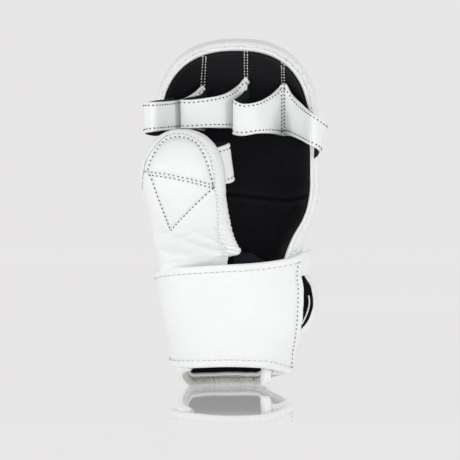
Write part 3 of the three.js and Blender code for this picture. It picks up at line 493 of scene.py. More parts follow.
def gathers(along, off, period, seed, sharpness=2.0):
    """Valleys that run across a seam, at uneven steps of about period, between 0 and -1."""
    phase = along / period + 0.9 * noise(along / (3.1 * period), off / (2.5 * period), seed)
    strength = 0.55 + 0.45 * noise(along / (1.7 * period), off / (4 * period), seed + 1)
    return -strength * (1 - np.abs(np.sin(np.pi * phase))) ** sharpness


def line_distance(x, z, line):
    """Distance in the palm plane from points to a line with corners."""
    best = np.full(np.shape(x), 1e9)
    for (x0, z0), (x1, z1) in zip(line[:-1], line[1:]):
        length = (x1 - x0) ** 2 + (z1 - z0) ** 2
        share = np.clip(((x - x0) * (x1 - x0) + (z - z0) * (z1 - z0)) / length, 0, 1)
        best = np.minimum(best, np.hypot(x - mix(x0, x1, share), z - mix(z0, z1, share)))
    return best


print("noise sample:", round(float(noise(1.3, 2.7, 5)), 4))

# %% [markdown]
# ## Finishes
# Shader maths reads best as plain sums, so one small class wraps a socket and adds a Math node
# for each operator. Every other node comes from Finish.add, which takes the node's type, its
# settings and its inputs. Patterns read Object coordinates, or the pieces' own map in
# millimetres, so they stay put when the camera moves.


# %% Sockets as numbers
class Wire:
    """An output socket whose arithmetic adds Math nodes."""

    def __init__(self, tree, socket):
        self.tree, self.socket = tree, socket

    def maths(self, operation, first, second=None):
        node = self.tree.nodes.new("ShaderNodeMath")
        node.operation = operation
        for slot, value in zip(node.inputs, (first, second)):
            if isinstance(value, Wire):
                self.tree.links.new(value.socket, slot)
            elif value is not None:
                slot.default_value = value
        return Wire(self.tree, node.outputs[0])

    def __add__(self, other):
        return self.maths("ADD", self, other)

    def __sub__(self, other):
        return self.maths("SUBTRACT", self, other)

    def __rsub__(self, other):
        return self.maths("SUBTRACT", other, self)

    def __mul__(self, other):
        return self.maths("MULTIPLY", self, other)

    def sine(self):
        return self.maths("SINE", self)

    def size(self):
        return self.maths("ABSOLUTE", self)

    __radd__ = __add__
    __rmul__ = __mul__


class Finish:
    """A material whose nodes are added one call at a time."""

    def __init__(self, name, **constants):
        self.material = bpy.data.materials.new(name)
        self.material.use_nodes = True
        self.tree = self.material.node_tree
        self.shader = self.tree.nodes["Principled BSDF"]
        for socket, value in constants.items():
            self.shader.inputs[socket.replace("_", " ")].default_value = value

    def add(self, kind, settings=None, sockets=None, output=0):
        node = self.tree.nodes.new(kind)
        for name, value in (settings or {}).items():
            if name == "stops":
                ramp = node.color_ramp
                while len(ramp.elements) < len(value):
                    ramp.elements.new(0.5)
                for element, (place, colour) in zip(ramp.elements, value):
                    element.position, element.color = place, colour
            else:
                setattr(node, name, value)
        for name, value in (sockets or {}).items():
            if isinstance(value, Wire):
                self.tree.links.new(value.socket, node.inputs[name])
            else:
                node.inputs[name].default_value = value
        return Wire(self.tree, node.outputs[output])

    def feed(self, socket, wire):
        self.tree.links.new(wire.socket, self.shader.inputs[socket])

    def show(self, wire):
        """Makes another shader than the first one the material's surface."""
        self.tree.links.new(wire.socket, self.tree.nodes["Material Output"].inputs["Surface"])

    def place(self):
        return self.add("ShaderNodeTexCoord", output="Object")

    def parts(self, vector):
        """The x, y and z of a vector."""
        node = self.tree.nodes.new("ShaderNodeSeparateXYZ")
        self.tree.links.new(vector.socket, node.inputs[0])
        return [Wire(self.tree, output) for output in node.outputs]

    def millimetres(self):
        """x and z in the frame of the CAD sizes."""
        x, _, z = self.parts(self.place())
        return x * 1000.0 - float(SHIFT[0]), z * 1000.0

    def cloth_map(self):
        """The piece's own map: millimetres along it and across it."""
        return self.parts(self.add("ShaderNodeUVMap", {"uv_map": "cloth"}))[:2]

    def cloud(self, scale, detail=2.0, roughness=0.5, distortion=0.0):
        return self.add("ShaderNodeTexNoise", {}, {
            "Vector": self.place(), "Scale": scale, "Detail": detail, "Roughness": roughness,
            "Distortion": distortion}, "Fac")

    def cells(self, scale):
        return self.add("ShaderNodeTexVoronoi", {"feature": "F1"},
                        {"Vector": self.place(), "Scale": scale}, "Distance")

    def between(self, share, first, second):
        return self.add("ShaderNodeMix", {"data_type": "RGBA"}, {0: share, 6: first, 7: second}, 2)

    def ramp(self, wire, *stops):
        grey = [(place, (value, value, value, 1)) for place, value in stops]
        return self.add("ShaderNodeValToRGB", {"stops": grey}, {"Fac": wire})

    def bump(self, height, strength, distance, normal=None):
        sockets = {"Height": height, "Strength": strength, "Distance": distance}
        if normal is not None:
            sockets["Normal"] = normal
        return self.add("ShaderNodeBump", {}, sockets)


def linear(red, green, blue):
    """A screen colour, each part from 0 to 255, as Blender's shaders take it."""
    return tuple(mix(c / 12.92, ((c + 0.055) / 1.055) ** 2.4, c > 0.04045)
                 for c in (red / 255, green / 255, blue / 255)) + (1.0,)


# %% [markdown]
# ## White leather
# The leather is a coated synthetic one: nearly white, softly glossy, with a fine pebble grain
# and a net of faint creases. The grain is a bump of small cells, the creases a second bump of
# larger distorted noise. A little painted shade in the creases keeps it from looking like plastic foam.


# %% White leather, with more or fewer creases
PEBBLES, PORES, STAINS = 1150.0, 2600.0, 28.0  # scales, each in cells per metre


def white_leather(name, colour, shade, crease, roughness, crease_scale=210.0):
    """colour is the clean leather's, shade that of its stains and of the painted shade in its creases, and
    crease the creases' strength.
    """
    finish = Finish(name, IOR=1.47, Specular_IOR_Level=0.42)
    grain = finish.cells(PEBBLES)
    fine = finish.cloud(PORES)
    folds = finish.cloud(crease_scale, 4.0, 0.55, 0.6)
    ridge = (folds - 0.5).size()
    wrinkle = finish.ramp(ridge, (0.0, 0.0), (0.035, 0.75), (0.14, 1.0))
    broad = finish.cloud(STAINS)
    # Broad stains of the leather's own tone, and painted shade along the crease lines.
    stain_and_crease_shade = finish.between(broad * 0.55 + (1 - wrinkle) * 0.25 * crease, colour, shade)
    finish.feed("Base Color", stain_and_crease_shade)
    finish.feed("Roughness", broad * 0.12 + fine * 0.08 + (roughness - 0.1))
    soft = finish.bump(wrinkle, 0.16 * crease, 0.0006)
    finish.feed("Normal", finish.bump(grain * 0.7 + fine * 0.3, 0.22, 0.0003, soft))
    return finish.material


LEATHER = white_leather("white leather", linear(247, 250, 249), linear(236, 240, 239), 1.0, 0.48)
LOOP_WHITE = white_leather("white leather of the loops", linear(249, 252, 251), linear(238, 242, 242),
                           0.7, 0.46)
EDGING = white_leather("white edging leather", linear(248, 251, 249), linear(236, 240, 237), 1.5, 0.42, 330.0)
# Painted shade: a darker copy of the hem's leather, with dark creases, for the hem's inside face in the cuff's
# shade.
HEM_INSIDE_PAINTED_SHADE = white_leather("soft hem leather inside, painted darker for shade", linear(236, 237, 232), linear(142, 142, 137),
                           2.0, 0.6, 330.0)
HEM = white_leather("soft hem leather", linear(251, 251, 248), linear(234, 234, 229), 0.9, 0.5, 300.0)

# %% [markdown]
# ## Black fabric, elastic and hooks
# The lining is a fine black knit, so it needs a very dark colour, no gloss and a soft sheen from
# its fuzz. The gusset is a ribbed elastic, a little lighter. The hook patch is a matte field of
# stiff hooks on a woven ground. Threads are twisted, which a fine slanted wave shows.


# %% Black lining, elastic, hook ground and threads
PALM_SEAM = (149.2, -0.105, 136.0, 0.2)  # for each of its two legs, the height at x = 0 in mm and the slope
KNIT, RIBS, HOOK_WEAVE = 5.2, 7.0, 9.0  # turns of the weave, in radians per mm


def black_knit(name, colour, scale, seamed=False):
    """A knit of fine loops with fuzz. A seamed one has painted shade along the palm's seam and a painted
    highlight beside it.
    """
    finish = Finish(name, IOR=1.4, Specular_IOR_Level=0.12, Sheen_Weight=0.04, Sheen_Roughness=0.5)
    fuzzy = tuple(c * 3.2 for c in colour[:3]) + (1.0,)
    along, across = finish.cloth_map()
    loops = ((along * scale).sine() + (across * scale * 1.3).sine()) * 0.5
    fuzz = finish.cloud(900.0, 3.0)
    shade = fuzz * 1.6 + loops * 0.2 - 0.5
    # Painted shade: along the palm's seam the fuzz is flattened and darkened, and a painted highlight lies on
    # the swell about 3 mm either side.
    if seamed:
        x, z = finish.millimetres()
        left, right = z - x * PALM_SEAM[1] - PALM_SEAM[0], z - x * PALM_SEAM[3] - PALM_SEAM[2]
        off = left.maths("MINIMUM", left, right).size()
        outside_seam_shade = finish.ramp(off * 0.1, (0.07, 0.0), (0.16, 1.0))
        shade = shade * outside_seam_shade + finish.ramp(off * 0.1, (0.0, -0.6), (0.13, 0.0), (0.3, 0.28), (0.7, 0.0))
    finish.feed("Base Color", finish.between(shade, colour, fuzzy))
    finish.feed("Roughness", fuzz * 0.15 + 0.8)
    finish.feed("Normal", finish.bump(loops * 0.6 + fuzz * 0.4, 0.35, 0.0004))
    return finish.material


def thread(name, colour):
    """Twisted thread, darker between its plies."""
    finish = Finish(name, IOR=1.45, Specular_IOR_Level=0.3)
    shade = tuple(c * 0.6 for c in colour[:3]) + (1.0,)
    twist = finish.add("ShaderNodeTexWave", {"bands_direction": "DIAGONAL"},
                       {"Vector": finish.place(), "Scale": 900.0, "Distortion": 0.5}, "Fac")
    finish.feed("Base Color", finish.between(twist * 0.4, colour, shade))
    finish.feed("Roughness", twist * 0.1 + 0.55)
    finish.feed("Normal", finish.bump(twist, 0.3, 0.0002))
    return finish.material


# This lining finish carries the painted seam shade and highlight.
LINING = black_knit("black knit lining", (0.0078, 0.0082, 0.0100, 1.0), KNIT, True)
# Painted shade: the cuff's lining is the same knit, painted darker than the hand's lining for the shade inside
# the cuff.
CUFF_LINING_PAINTED_SHADE = black_knit("black knit lining of the cuff, painted darker for shade", (0.0032, 0.0034, 0.0042, 1.0), KNIT)
LOOP_BLACK = black_knit("black backing of the loops", (0.011, 0.012, 0.014, 1.0), KNIT)
ELASTIC = black_knit("black ribbed elastic", (0.009, 0.010, 0.014, 1.0), RIBS)
HOOK_GROUND = black_knit("black hook ground", (0.0045, 0.0048, 0.0055, 1.0), HOOK_WEAVE)
HOOK = thread("black hook nylon", (0.008, 0.0085, 0.0095, 1.0))
THREAD_BLACK = thread("black thread", (0.018, 0.018, 0.021, 1.0))
THREAD_GREY = thread("grey thread", (0.16, 0.165, 0.17, 1.0))
THREAD_PALE = thread("pale grey thread", (0.52, 0.53, 0.56, 1.0))
THREAD_WHITE = thread("white thread", (0.88, 0.88, 0.86, 1.0))
print("finishes:", len(bpy.data.materials))

# %% [markdown]
# ## How a piece of leather is made
# Each piece is a closed solid between two sheets of the same grid. Near a free edge the rows
# come closer together and the two sheets close in a half circle, so that every edge is rolled,
# as folded or cut leather is. Relief is then added along the normals, in millimetres.


# %% Rows that close round an edge
EDGE_TURN = np.radians([0, 22, 42, 60, 76, 90])


def rows_between(start, stop, count, first=0.0, last=None):
    """Places from start to stop, and the share of the thickness there. first and last are how far
    the rolled edges reach in, as shares of the way, and last is as first where it isn't given."""
    last = first if last is None else last
    head = first * (1 - np.cos(EDGE_TURN)) if first else np.zeros(1)
    tail = last * (1 - np.cos(EDGE_TURN)) if last else np.zeros(1)
    swell_head = np.sin(EDGE_TURN) if first else np.ones(1)
    swell_tail = np.sin(EDGE_TURN) if last else np.ones(1)
    middle = np.linspace(first, 1 - last, count + 1)[1:-1]
    share = np.concatenate([head, middle, 1 - tail[::-1]])
    swell = np.concatenate([swell_head, np.ones(len(middle)), swell_tail[::-1]])
    return start + (stop - start) * share, swell


# %% Grids, welding and normals
def grid_quads(n, m, first):
    i, j = np.meshgrid(np.arange(n - 1), np.arange(m - 1), indexing="ij")
    a = (first + i * m + j).ravel()
    return np.stack([a, a + m, a + m + 1, a + 1], axis=1)


def lengths(grid, axis):
    step = np.linalg.norm(np.diff(grid, axis=axis), axis=-1)
    shape = list(step.shape)
    shape[axis] = 1
    return np.concatenate([np.zeros(shape), np.cumsum(step, axis=axis)], axis=axis)


def vertex_normals(places, quads):
    a, b, c, d = (places[quads[:, k]] for k in range(4))
    facing = np.cross(c - a, d - b)
    total = np.zeros_like(places)
    for k in range(4):
        np.add.at(total, quads[:, k], facing)
    return total / np.maximum(np.linalg.norm(total, axis=1, keepdims=True), 1e-12)


# %% Two sheets closed into one skin
def closed_quads(n, m):
    """The faces of two grids of n by m points, far one first, and of the walls between their edges.
    The second result is 1 for the faces of the near grid."""
    outer, inner = grid_quads(n, m, 0), grid_quads(n, m, n * m)[:, ::-1]
    index = np.arange(n * m).reshape(n, m)
    walls = []
    for line, turn in ((index[0], True), (index[-1], False), (index[:, 0], False), (index[:, -1], True)):
        wall = np.stack([line[:-1], line[1:], line[1:] + n * m, line[:-1] + n * m], axis=1)
        walls.append(wall[:, ::-1] if turn else wall)
    side = np.concatenate([np.zeros(len(outer)), np.ones(len(inner)), np.zeros(sum(map(len, walls)))])
    return np.concatenate([outer, inner] + walls), side


def welded(places, quads, side):
    """Points that meet are made one, faces without area go, and the others are turned outwards.
    Gives the points that stay, the faces on them, the same faces on the old points, and the sides."""
    _, kept, merged = np.unique(np.round(places, 4), axis=0, return_index=True, return_inverse=True)
    faces = merged.ravel()[quads]
    distinct = 1 + (np.diff(np.sort(faces, axis=1), axis=1) != 0).sum(axis=1)
    faces, corners, side = faces[distinct > 2], quads[distinct > 2], side[distinct > 2]
    a, b, c, d = (places[kept][faces[:, k]] for k in range(4))
    volume = np.einsum("ij,ij->i", a, np.cross(b, c)).sum()
    volume += np.einsum("ij,ij->i", a, np.cross(c, d)).sum()
    if volume < 0:
        faces, corners = faces[:, ::-1], corners[:, ::-1]
    return kept, faces, corners, side


# %% A mesh with its own map
def mapped_mesh(name, places, faces, corners, x, y):
    """A smooth mesh whose map gives millimetres. corners are the faces on the grid of x and y."""
    mesh = bpy.data.meshes.new(name)
    whole = [tuple(dict.fromkeys(face)) for face in faces.tolist()]
    mesh.from_pydata(((places + SHIFT) * MM).tolist(), [], whole)
    chosen = np.array([corner for row, face in zip(corners.tolist(), faces.tolist())
                       for k, corner in enumerate(row) if face[k] not in face[:k]]) % x.size
    cloth = mesh.uv_layers.new(name="cloth")
    cloth.data.foreach_set("uv", np.stack([x.ravel()[chosen], y.ravel()[chosen]], axis=1).ravel())
    mesh.polygons.foreach_set("use_smooth", np.ones(len(faces), bool))
    return mesh


# %% The maker of leather and fabric pieces
class Spot:
    """Where the points of a piece are: u and v on its grid, x and y in mm along it, place in mm,
    the normal there, and swell, the share of the thickness that an edge leaves."""


def leather_solid(name, near, far, across, along, relief=None, near_relief=None, finishes=(), inside=0):
    """A closed piece between two sheets. far is the face that shows most; relief(spot) raises it.
    inside is the place of the near face's finish among the finishes."""
    (us, swell_u), (vs, swell_v) = across, along
    u, v = np.meshgrid(us, vs, indexing="ij")
    n, m = u.shape
    swell = swell_u[:, None] * swell_v[None, :]
    p, q = near(u, v), far(u, v)
    middle, half = (p + q) / 2, (q - p) / 2 * swell[..., None]
    p, q = middle - half, middle + half
    x, y = lengths(q, 0), lengths(q, 1)
    x = np.broadcast_to(x[:, m // 2:m // 2 + 1], x.shape)
    both = np.concatenate([q.reshape(-1, 3), p.reshape(-1, 3)])
    kept, faces, corners, side = welded(both, *closed_quads(n, m))
    spot, at, on_far = Spot(), kept % (n * m), kept < n * m
    spot.u, spot.v, spot.x, spot.y, spot.swell = (grid.ravel()[at] for grid in (u, v, x, y, swell))
    spot.place = both[kept]
    spot.normal = vertex_normals(spot.place, faces)
    raised = spot.place
    if relief is not None:
        raised = raised + spot.normal * (relief(spot) * on_far)[:, None]
    if near_relief is not None:
        raised = raised + spot.normal * (near_relief(spot) * ~on_far)[:, None]
    mesh = mapped_mesh(name, raised, faces, corners, x, y)
    mesh.polygons.foreach_set("material_index", (side * inside).astype(int))
    for finish in finishes:
        mesh.materials.append(finish)
    mesh.update()
    piece = bpy.data.objects.new(name, mesh)
    bpy.context.scene.collection.objects.link(piece)
    print(f"{name}: {len(raised)} points, {len(faces)} faces")
    return piece


# %% What a piece stands for, and its area
def fit(piece, slot, *nodes):
    """Hangs a piece on what carries it and hides the CAD nodes that it stands for. slot is not used."""
    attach(piece, "root")
    if nodes:
        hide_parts(*nodes)
    return piece


def cloth_area(piece):
    """Half of a thin closed piece's surface: the area of the sheet that it was cut from."""
    return sum(face.area for face in piece.data.polygons) / 2


# %% [markdown]
# ## The hand shell
# The shell is foam under one skin of leather. Its edge is turned in over the rim and sewn down
# through the lining, which pulls a groove beside the piping and gathers the leather into small
# puckers across it. Behind the rim the foam swells again. On the back a few stitched channels
# let the padding bend over the knuckles.


# %% Places at a distance in from a rim
def calmed(values, times=4):
    """Each point moved to the middle of its neighbours, so that a seam runs smoothly."""
    for _ in range(times):
        values[1:-1] = (values[:-2] + 2 * values[1:-1] + values[2:]) / 4
    return values


def inward(sheet, s, distance):
    """For places s along a rim, the t that lies distance millimetres in from it."""
    t = np.linspace(0, LIP_SHARE, 80)
    run = lengths(sheet(*np.meshgrid(s, t, indexing="ij")), 1)
    return np.array([np.interp(distance, row, t) for row in run])


# %% Relief of the shell
GROOVE = 2.9  # from the rim to the stitched groove beside the piping
BACK_SEAMS = {
    "knuckles": [(-50, 196), (-30, 204), (-5, 207), (14, 207), (36, 204), (56, 196)],
    "hand left": [(-24, 92), (-27, 130), (-31, 170), (-33, 203)],
    "hand right": [(32, 92), (35, 130), (39, 170), (41, 203)],
}


def shell_relief(spot):
    """A groove beside the rim, puckers across it, folds low on the right, and stitched channels."""
    d, a = spot.y, spot.x  # millimetres in from the rim, and along it
    rolled = 1 - np.exp(-((d / 1.4) ** 2))
    sides = np.clip((np.abs(spot.u - 0.5) - 0.18) / 0.05, 0, 1)
    lift = 0.9 * np.exp(-(((d - GROOVE - 4.6) / 3.2) ** 2)) + (1.5 + 0.8 * sides) * valley(d - GROOVE, 0.9)
    arc = np.exp(-(((spot.u - 0.62) / 0.035) ** 2)) + np.exp(-(((spot.u - 0.37) / 0.03) ** 2))
    lower = np.clip((spot.u - 0.86) / 0.06, 0, 1)
    pucker = gathers(a, d, 5.2, 11, 1.4) * (1.1 + 1.6 * arc) * np.exp(-((d - GROOVE - 1.8) / 4.2) ** 2)
    pucker = pucker + gathers(a, d, 9.5, 21, 2.4) * (1.0 + 1.2 * arc) * np.exp(-((d - 9) / 7.5) ** 2)
    along = gathers(d + 1.4 * noise(a / 9, 0, 33), a * 0.35, 4.6, 31, 1.3) * 2.4
    across = gathers(a + 0.5 * d, d, 7.0, 35, 1.5) * 2.0
    folds = (along + across) * lower * np.exp(-((d - 10) / 10) ** 2)
    swell = 0.35 * noise(a / 17, d / 15, 41) + 0.14 * noise(a / 7, d / 6, 42)
    back = np.clip((spot.place[:, 1] - 22) / 12, 0, 1)
    near = np.min([line_distance(spot.place[:, 0], spot.place[:, 2], line) for line in BACK_SEAMS.values()],
                  axis=0)
    channels = back * (1.5 * valley(near, 1.7) - 0.35 * valley(near - 6, 4.5))
    channels = channels + back * 0.45 * gathers(spot.place[:, 0] + spot.place[:, 2], near, 5.5, 51) * np.exp(
        -((near / 4.5) ** 2))
    return (lift + pucker + folds + swell * (1 - 0.4 * back)) * rolled + channels




# %% The shell's leather
def dish_rows(lip_count, back_count):
    """Rows from the rim over the lip to the back, without a rolled edge at either end."""
    rows = np.concatenate([np.linspace(0, LIP_SHARE, lip_count), np.linspace(LIP_SHARE, 1, back_count)[1:]])
    return rows, np.ones(len(rows))


hand_shell = leather_solid("hand_shell_leather", shell_inside(0), shell_outside, rows_between(0, 1, 372, 0.012),
                           dish_rows(40, 40), shell_relief, None, (LEATHER,))
fit(hand_shell, "white_leather", "hand_shell")

# %% [markdown]
# ## The lining of the hand
# A black knit is glued into the dish and sewn in with the rim. It is a sheet, 1.7 mm thick with
# its thin foam, and it lies a little loose, so it gets a few wide soft folds and one seam
# across the palm where two panels meet.


# %% The lining
def lining_relief(spot):
    x, z = spot.place[:, 0], spot.place[:, 2]
    seam = np.minimum(z - PALM_SEAM[1] * x - PALM_SEAM[0], z - PALM_SEAM[3] * x - PALM_SEAM[2])
    across = 2.4 * valley(seam, 1.1) + 1.4 * np.exp(-(((np.abs(seam) - 4) / 3.5) ** 2))
    soft = 0.7 * noise(spot.x / 22, spot.y / 16, 61) + 0.25 * noise(spot.x / 8, spot.y / 7, 62)
    return (soft - 0.5 + across) * np.clip(spot.y / 6, 0, 1)


def lining_face(inset):
    return shell_inside(inset, CLEARANCE + PIPING_RADIUS / 2)


shell_lining = leather_solid(
    "shell_lining_knit", lining_face(CLEARANCE), lining_face(CLEARANCE + LINING_THICKNESS),
    rows_between(0, 1, 240, 0.002), rows_between(0, 1, 54, 0.012, 0), lining_relief, None, (LINING,))
fit(shell_lining, "black_lining", "shell_lining")

# %% [markdown]
# ## The finger loops
# Each loop is a strip of white leather on a black backing. It is sewn to the lining at one end,
# stands out round the finger and comes back. The leather is turned over at both long edges, so
# the edges are rolled and a line of black stitches runs just inside them, in a shallow groove.


# %% Four loops for the fingers and one for the thumb
LOOP_SEAM = 3.0  # from a loop's edges to its stitches
LOOP_POINTS = 60  # at which a loop's size is measured


def loop_relief(seed, height):
    def relief(spot):
        off = np.minimum(spot.v, 1 - spot.v) * height
        groove = 0.3 * valley(off - LOOP_SEAM, 1.0) + 0.22 * np.exp(-(((off - 1.2) / 1.0) ** 2))
        crease = 0.16 * gathers(spot.x, off, 5.0, seed) * np.exp(-((off - LOOP_SEAM) / 3.2) ** 2)
        return groove + crease + 0.3 * noise(spot.x / 14, spot.v * 2.2, seed + 3)
    return relief


def loop_piece(name, upper, lower, seed, node):
    """A strip whose far face is its outside. Gives the piece, that face, and its mean height."""
    near, far = strip_faces(upper, lower, LOOP_LEATHER)
    rounds, halfway = np.linspace(0, 1, LOOP_POINTS), np.full(LOOP_POINTS, 0.5)
    ring = (upper(rounds) + lower(rounds)) / 2
    facing = far(rounds, halfway) - near(rounds, halfway)
    if ((ring - ring.mean(axis=0)) * facing).sum() < 0:
        near, far = far, near
    height = float(np.linalg.norm(upper(rounds) - lower(rounds), axis=1).mean())
    length = float(np.linalg.norm(np.diff(ring, axis=0), axis=1).sum())
    edge = LOOP_LEATHER / 2
    piece = leather_solid(name, near, far, rows_between(0, 1, 130, edge / length),
                          rows_between(0, 1, 30, edge / height), loop_relief(seed, height), None,
                          (LOOP_WHITE, LOOP_BLACK), 1)
    fit(piece, "white_leather", node)
    print(f"  its length is {length:.0f} mm")
    return piece, far, height


loops = {}
for number, (name, rows) in enumerate(FINGER_LOOPS.items()):
    loops[name] = loop_piece(name + "_leather", loop_line(rows, "top"), loop_line(rows, "bottom"),
                             71 + 10 * number, name)
loops["thumb_loop"] = loop_piece("thumb_loop_leather", thumb_loop_line("top"), thumb_loop_line("bottom"),
                                 121, "thumb_loop")
print("loops:", len(loops))

# %% [markdown]
# ## The thumb cover
# The cover is a padded shield in front of the thumb, open at its back. A stitched patch on its
# tip quilts the padding: two rows across, an arch over them and a V below that pulls the middle
# in. Below the V the leather folds softly where the thumb bends. The lines are laid out in the
# seam plane, which is the plane at y = 0, as the camera sees them.

# %% Stitch lines of the thumb patch
PATCH_ARCH = [(-66.8, 168.5), (-64.6, 176), (-61.0, 182.3), (-57.3, 187.6), (-52.5, 191.6), (-47.0, 193.3),
              (-41.0, 193.4), (-35.5, 192.3), (-30.3, 189.6), (-26.4, 185), (-23.4, 179.3), (-21.0, 172.8),
              (-19.2, 166.4), (-17.6, 160.5), (-16.6, 154.6)]
PATCH_ROW_HIGH = [(-68.4, 166.8), (-50, 164.2), (-33, 160.6), (-16.8, 156.4)]
PATCH_ROW_LOW = [(-65.8, 164.2), (-50, 161.8), (-33, 158.2), (-16.8, 154.0)]
PATCH_VEE = [(-65.0, 163.8), (-59.5, 147.5), (-54, 133), (-49.4, 121.2), (-40, 131.5), (-29.0, 142.5),
             (-17.0, 153.6)]
PATCH_LINES = [PATCH_ARCH, PATCH_ROW_HIGH, PATCH_ROW_LOW, PATCH_VEE]


def seen_on_seam_plane(place):
    """Where the camera sees a point against the plane of the side seams."""
    eye = np.array(EYE) / MM
    world = place + SHIFT
    share = (0 - eye[1]) / (world[:, 1] - eye[1])
    return mix(eye[0], world[:, 0], share), mix(eye[2], world[:, 2], share)


# %% The thumb cover's leather
def thumb_relief(spot):
    """Padding quilted along the patch's lines, with folds below them."""
    x, z = seen_on_seam_plane(spot.place)
    near = np.min([line_distance(x, z, line) for line in PATCH_LINES], axis=0)
    front = np.clip((spot.y - 12) / 5, 0, 1)
    quilt = 1.0 * valley(near, 1.25) + 0.55 * (1 - np.exp(-((near / 5.0) ** 2)))
    low = np.clip((128 - z) / 14, 0, 1) * np.clip((z - 98) / 8, 0, 1)
    folds = 1.3 * gathers(z + 0.16 * x, x * 0.4, 9.5, 131, 1.1) * low
    folds = folds + 0.5 * gathers(z - 0.3 * x, x * 0.5, 5.5, 136, 1.2) * np.clip((140 - z) / 12, 0, 1)
    swell = 0.3 * noise(spot.x / 13, spot.y / 13, 133) + 0.12 * noise(spot.x / 5, spot.y / 5, 134)
    return front * (quilt + folds + swell)


THUMB_TAIL = 0.025  # share of its edge that the cover runs on behind the strap
thumb_cover = leather_solid(
    "thumb_cover_leather", thumb_inside(0), thumb_outside,
    rows_between(-THUMB_TAIL, 1 + THUMB_TAIL, 260, 0.01), dish_rows(16, 86), thumb_relief, None, (LEATHER,))
fit(thumb_cover, "white_leather", "thumb_cover")

# %% The thumb cover's lining
thumb_lining = leather_solid(
    "thumb_lining_knit", thumb_inside(CLEARANCE), thumb_inside(CLEARANCE + LINING_THICKNESS),
    rows_between(0, 1, 120, 0.004), rows_between(0, 1, 40, 0.015, 0), None, None, (LINING,))
fit(thumb_lining, "black_lining", "thumb_lining")
print("thumb lining area:", round(cloth_area(thumb_lining), 4))

# %% [markdown]
# ## The binding round the thumb cover
# A strip of softer leather is folded over the cover's edge and sewn through. It goes round the
# tip and down both sides, and it wrinkles most along the right side, where the edge turns in.
# Its free edge follows the row of stitches that the camera sees, so its width varies a little.


# %% The thumb's binding
def off_sheet(sheet, distance):
    """A sheet at a distance outside another one."""
    small = 1e-3

    def moved(s, t):
        along_s = sheet(s + small, t) - sheet(s - small, t)
        along_t = sheet(s, t + small) - sheet(s, t - small)
        normal = np.cross(along_s, along_t)
        return sheet(s, t) - normal / np.linalg.norm(normal, axis=-1, keepdims=True) * distance
    return moved


def binding_relief(spot):
    side = np.clip((spot.u - 0.7) / 0.06, 0, 1)
    small = (0.28 + 0.5 * side) * gathers(spot.x, spot.y, 3.6, 141, 1.2)
    big = 1.25 * gathers(spot.x + 0.45 * spot.y, spot.y * 0.6, 4.6, 143, 1.3) * side
    roll = 0.45 * np.sin(spot.v * np.pi) + 0.4 * valley(spot.v - 0.9, 0.05)
    return (small + big + roll + 0.15 * noise(spot.x / 6, spot.y / 5, 145)) * spot.swell


# %% How far the binding reaches over the cover
BINDING_SEAM = [(-71.2, 154), (-70.4, 163), (-68.7, 174.8), (-63.4, 183.3), (-58.4, 190.0), (-53.0, 194.4),
                (-46, 196.2), (-39, 196.0), (-32, 193.6), (-28, 191), (-24.4, 187.6), (-19, 178.5),
                (-15.6, 167), (-14.8, 154.4), (-13.6, 144.8), (-13.0, 135.2), (-12.6, 119.8), (-10, 112),
                (-6.7, 106.3)]
BINDING_FROM, BINDING_TO, BINDING_HIDDEN = 0.2571, 0.9571, 0.2
PAST_SEAM, NEAR_SEAM = 1.3, 1.5  # mm from the stitches to the free edge, and the most a row may miss them by


def binding_edge():
    """For places along the edge, how far over the cover the binding reaches: just past its seam."""
    s, t = np.linspace(BINDING_FROM, BINDING_TO, 140), np.linspace(0.3, 0.72, 120)
    over = thumb_outside(*np.meshgrid(s, t, indexing="ij"))
    x, z = seen_on_seam_plane(over.reshape(-1, 3))
    off = line_distance(x, z, BINDING_SEAM).reshape(over.shape[:2])
    run = lengths(over, 1)
    reach = []
    for row, distance in zip(run, off):
        nearest = int(np.argmin(distance))
        meets = distance[nearest] < NEAR_SEAM
        reach.append(np.interp(row[nearest] + PAST_SEAM, row, t) if meets else np.nan)
    reach = np.array(reach)
    known = ~np.isnan(reach)
    return s, calmed(np.interp(s, s[known], reach[known]), 12)


binding_s, binding_reach = binding_edge()


def seamed(sheet):
    def reaching(s, share):
        return sheet(s, mix(BINDING_HIDDEN, np.interp(s, binding_s, binding_reach), share))
    return reaching


# %% The binding's leather
thumb_binding = leather_solid(
    "thumb_binding_leather", seamed(off_sheet(thumb_outside, CLEARANCE)),
    seamed(off_sheet(thumb_outside, CLEARANCE + BINDING_THICKNESS)),
    rows_between(BINDING_FROM, BINDING_TO, 330, 0.01), rows_between(0, 1, 26, 0.06),
    binding_relief, None, (EDGING,))
print("binding reach:", [round(float(t), 2) for t in binding_reach[::12]])
fit(thumb_binding, "white_edging", "thumb_binding")
print("thumb binding area:", round(cloth_area(thumb_binding), 5))

# %% [markdown]
# ## The cuff and its lining
# A padded wall goes round the back and both sides of the wrist. Its top is sewn to the shell,
# which pulls a groove below the seam, and its bulging right end folds a little. A band between
# two heights, swept round the wrist's section, gives such a wall in one piece.


# %% The cuff's wall and its lining
WALL_HEIGHT, SEAM_DROP = 66.0, 5.0  # of the wall, and of the groove below its top
WALL_INNER = -CUFF_WALL + LINING_THICKNESS + CLEARANCE


def cuff_relief(spot):
    end = np.clip((spot.u - 92) / 20, 0, 1)
    below_seam = (1 - spot.v) * WALL_HEIGHT - SEAM_DROP
    folds = 0.55 * gathers(spot.place[:, 2], spot.x * 0.6, 9.0, 151, 1.8) * end
    pads = 0.5 * np.sin(np.clip(spot.v, 0, 1) * np.pi) ** 0.6
    seam = 1.0 * valley(below_seam, 1.2) + 0.3 * gathers(spot.x, spot.y, 6.0, 153) * np.exp(
        -((below_seam / 5) ** 2))
    return (folds + pads + seam + 0.25 * noise(spot.x / 12, spot.y / 12, 155)) * spot.swell


def hem_top(degrees):
    return hem_lift(degrees) + HEM_HEIGHT


def wall_foot(degrees):
    return hem_top(degrees) + CLEARANCE


def seam_height(degrees):
    return CUFF_HEIGHT - CLEARANCE + 0 * degrees


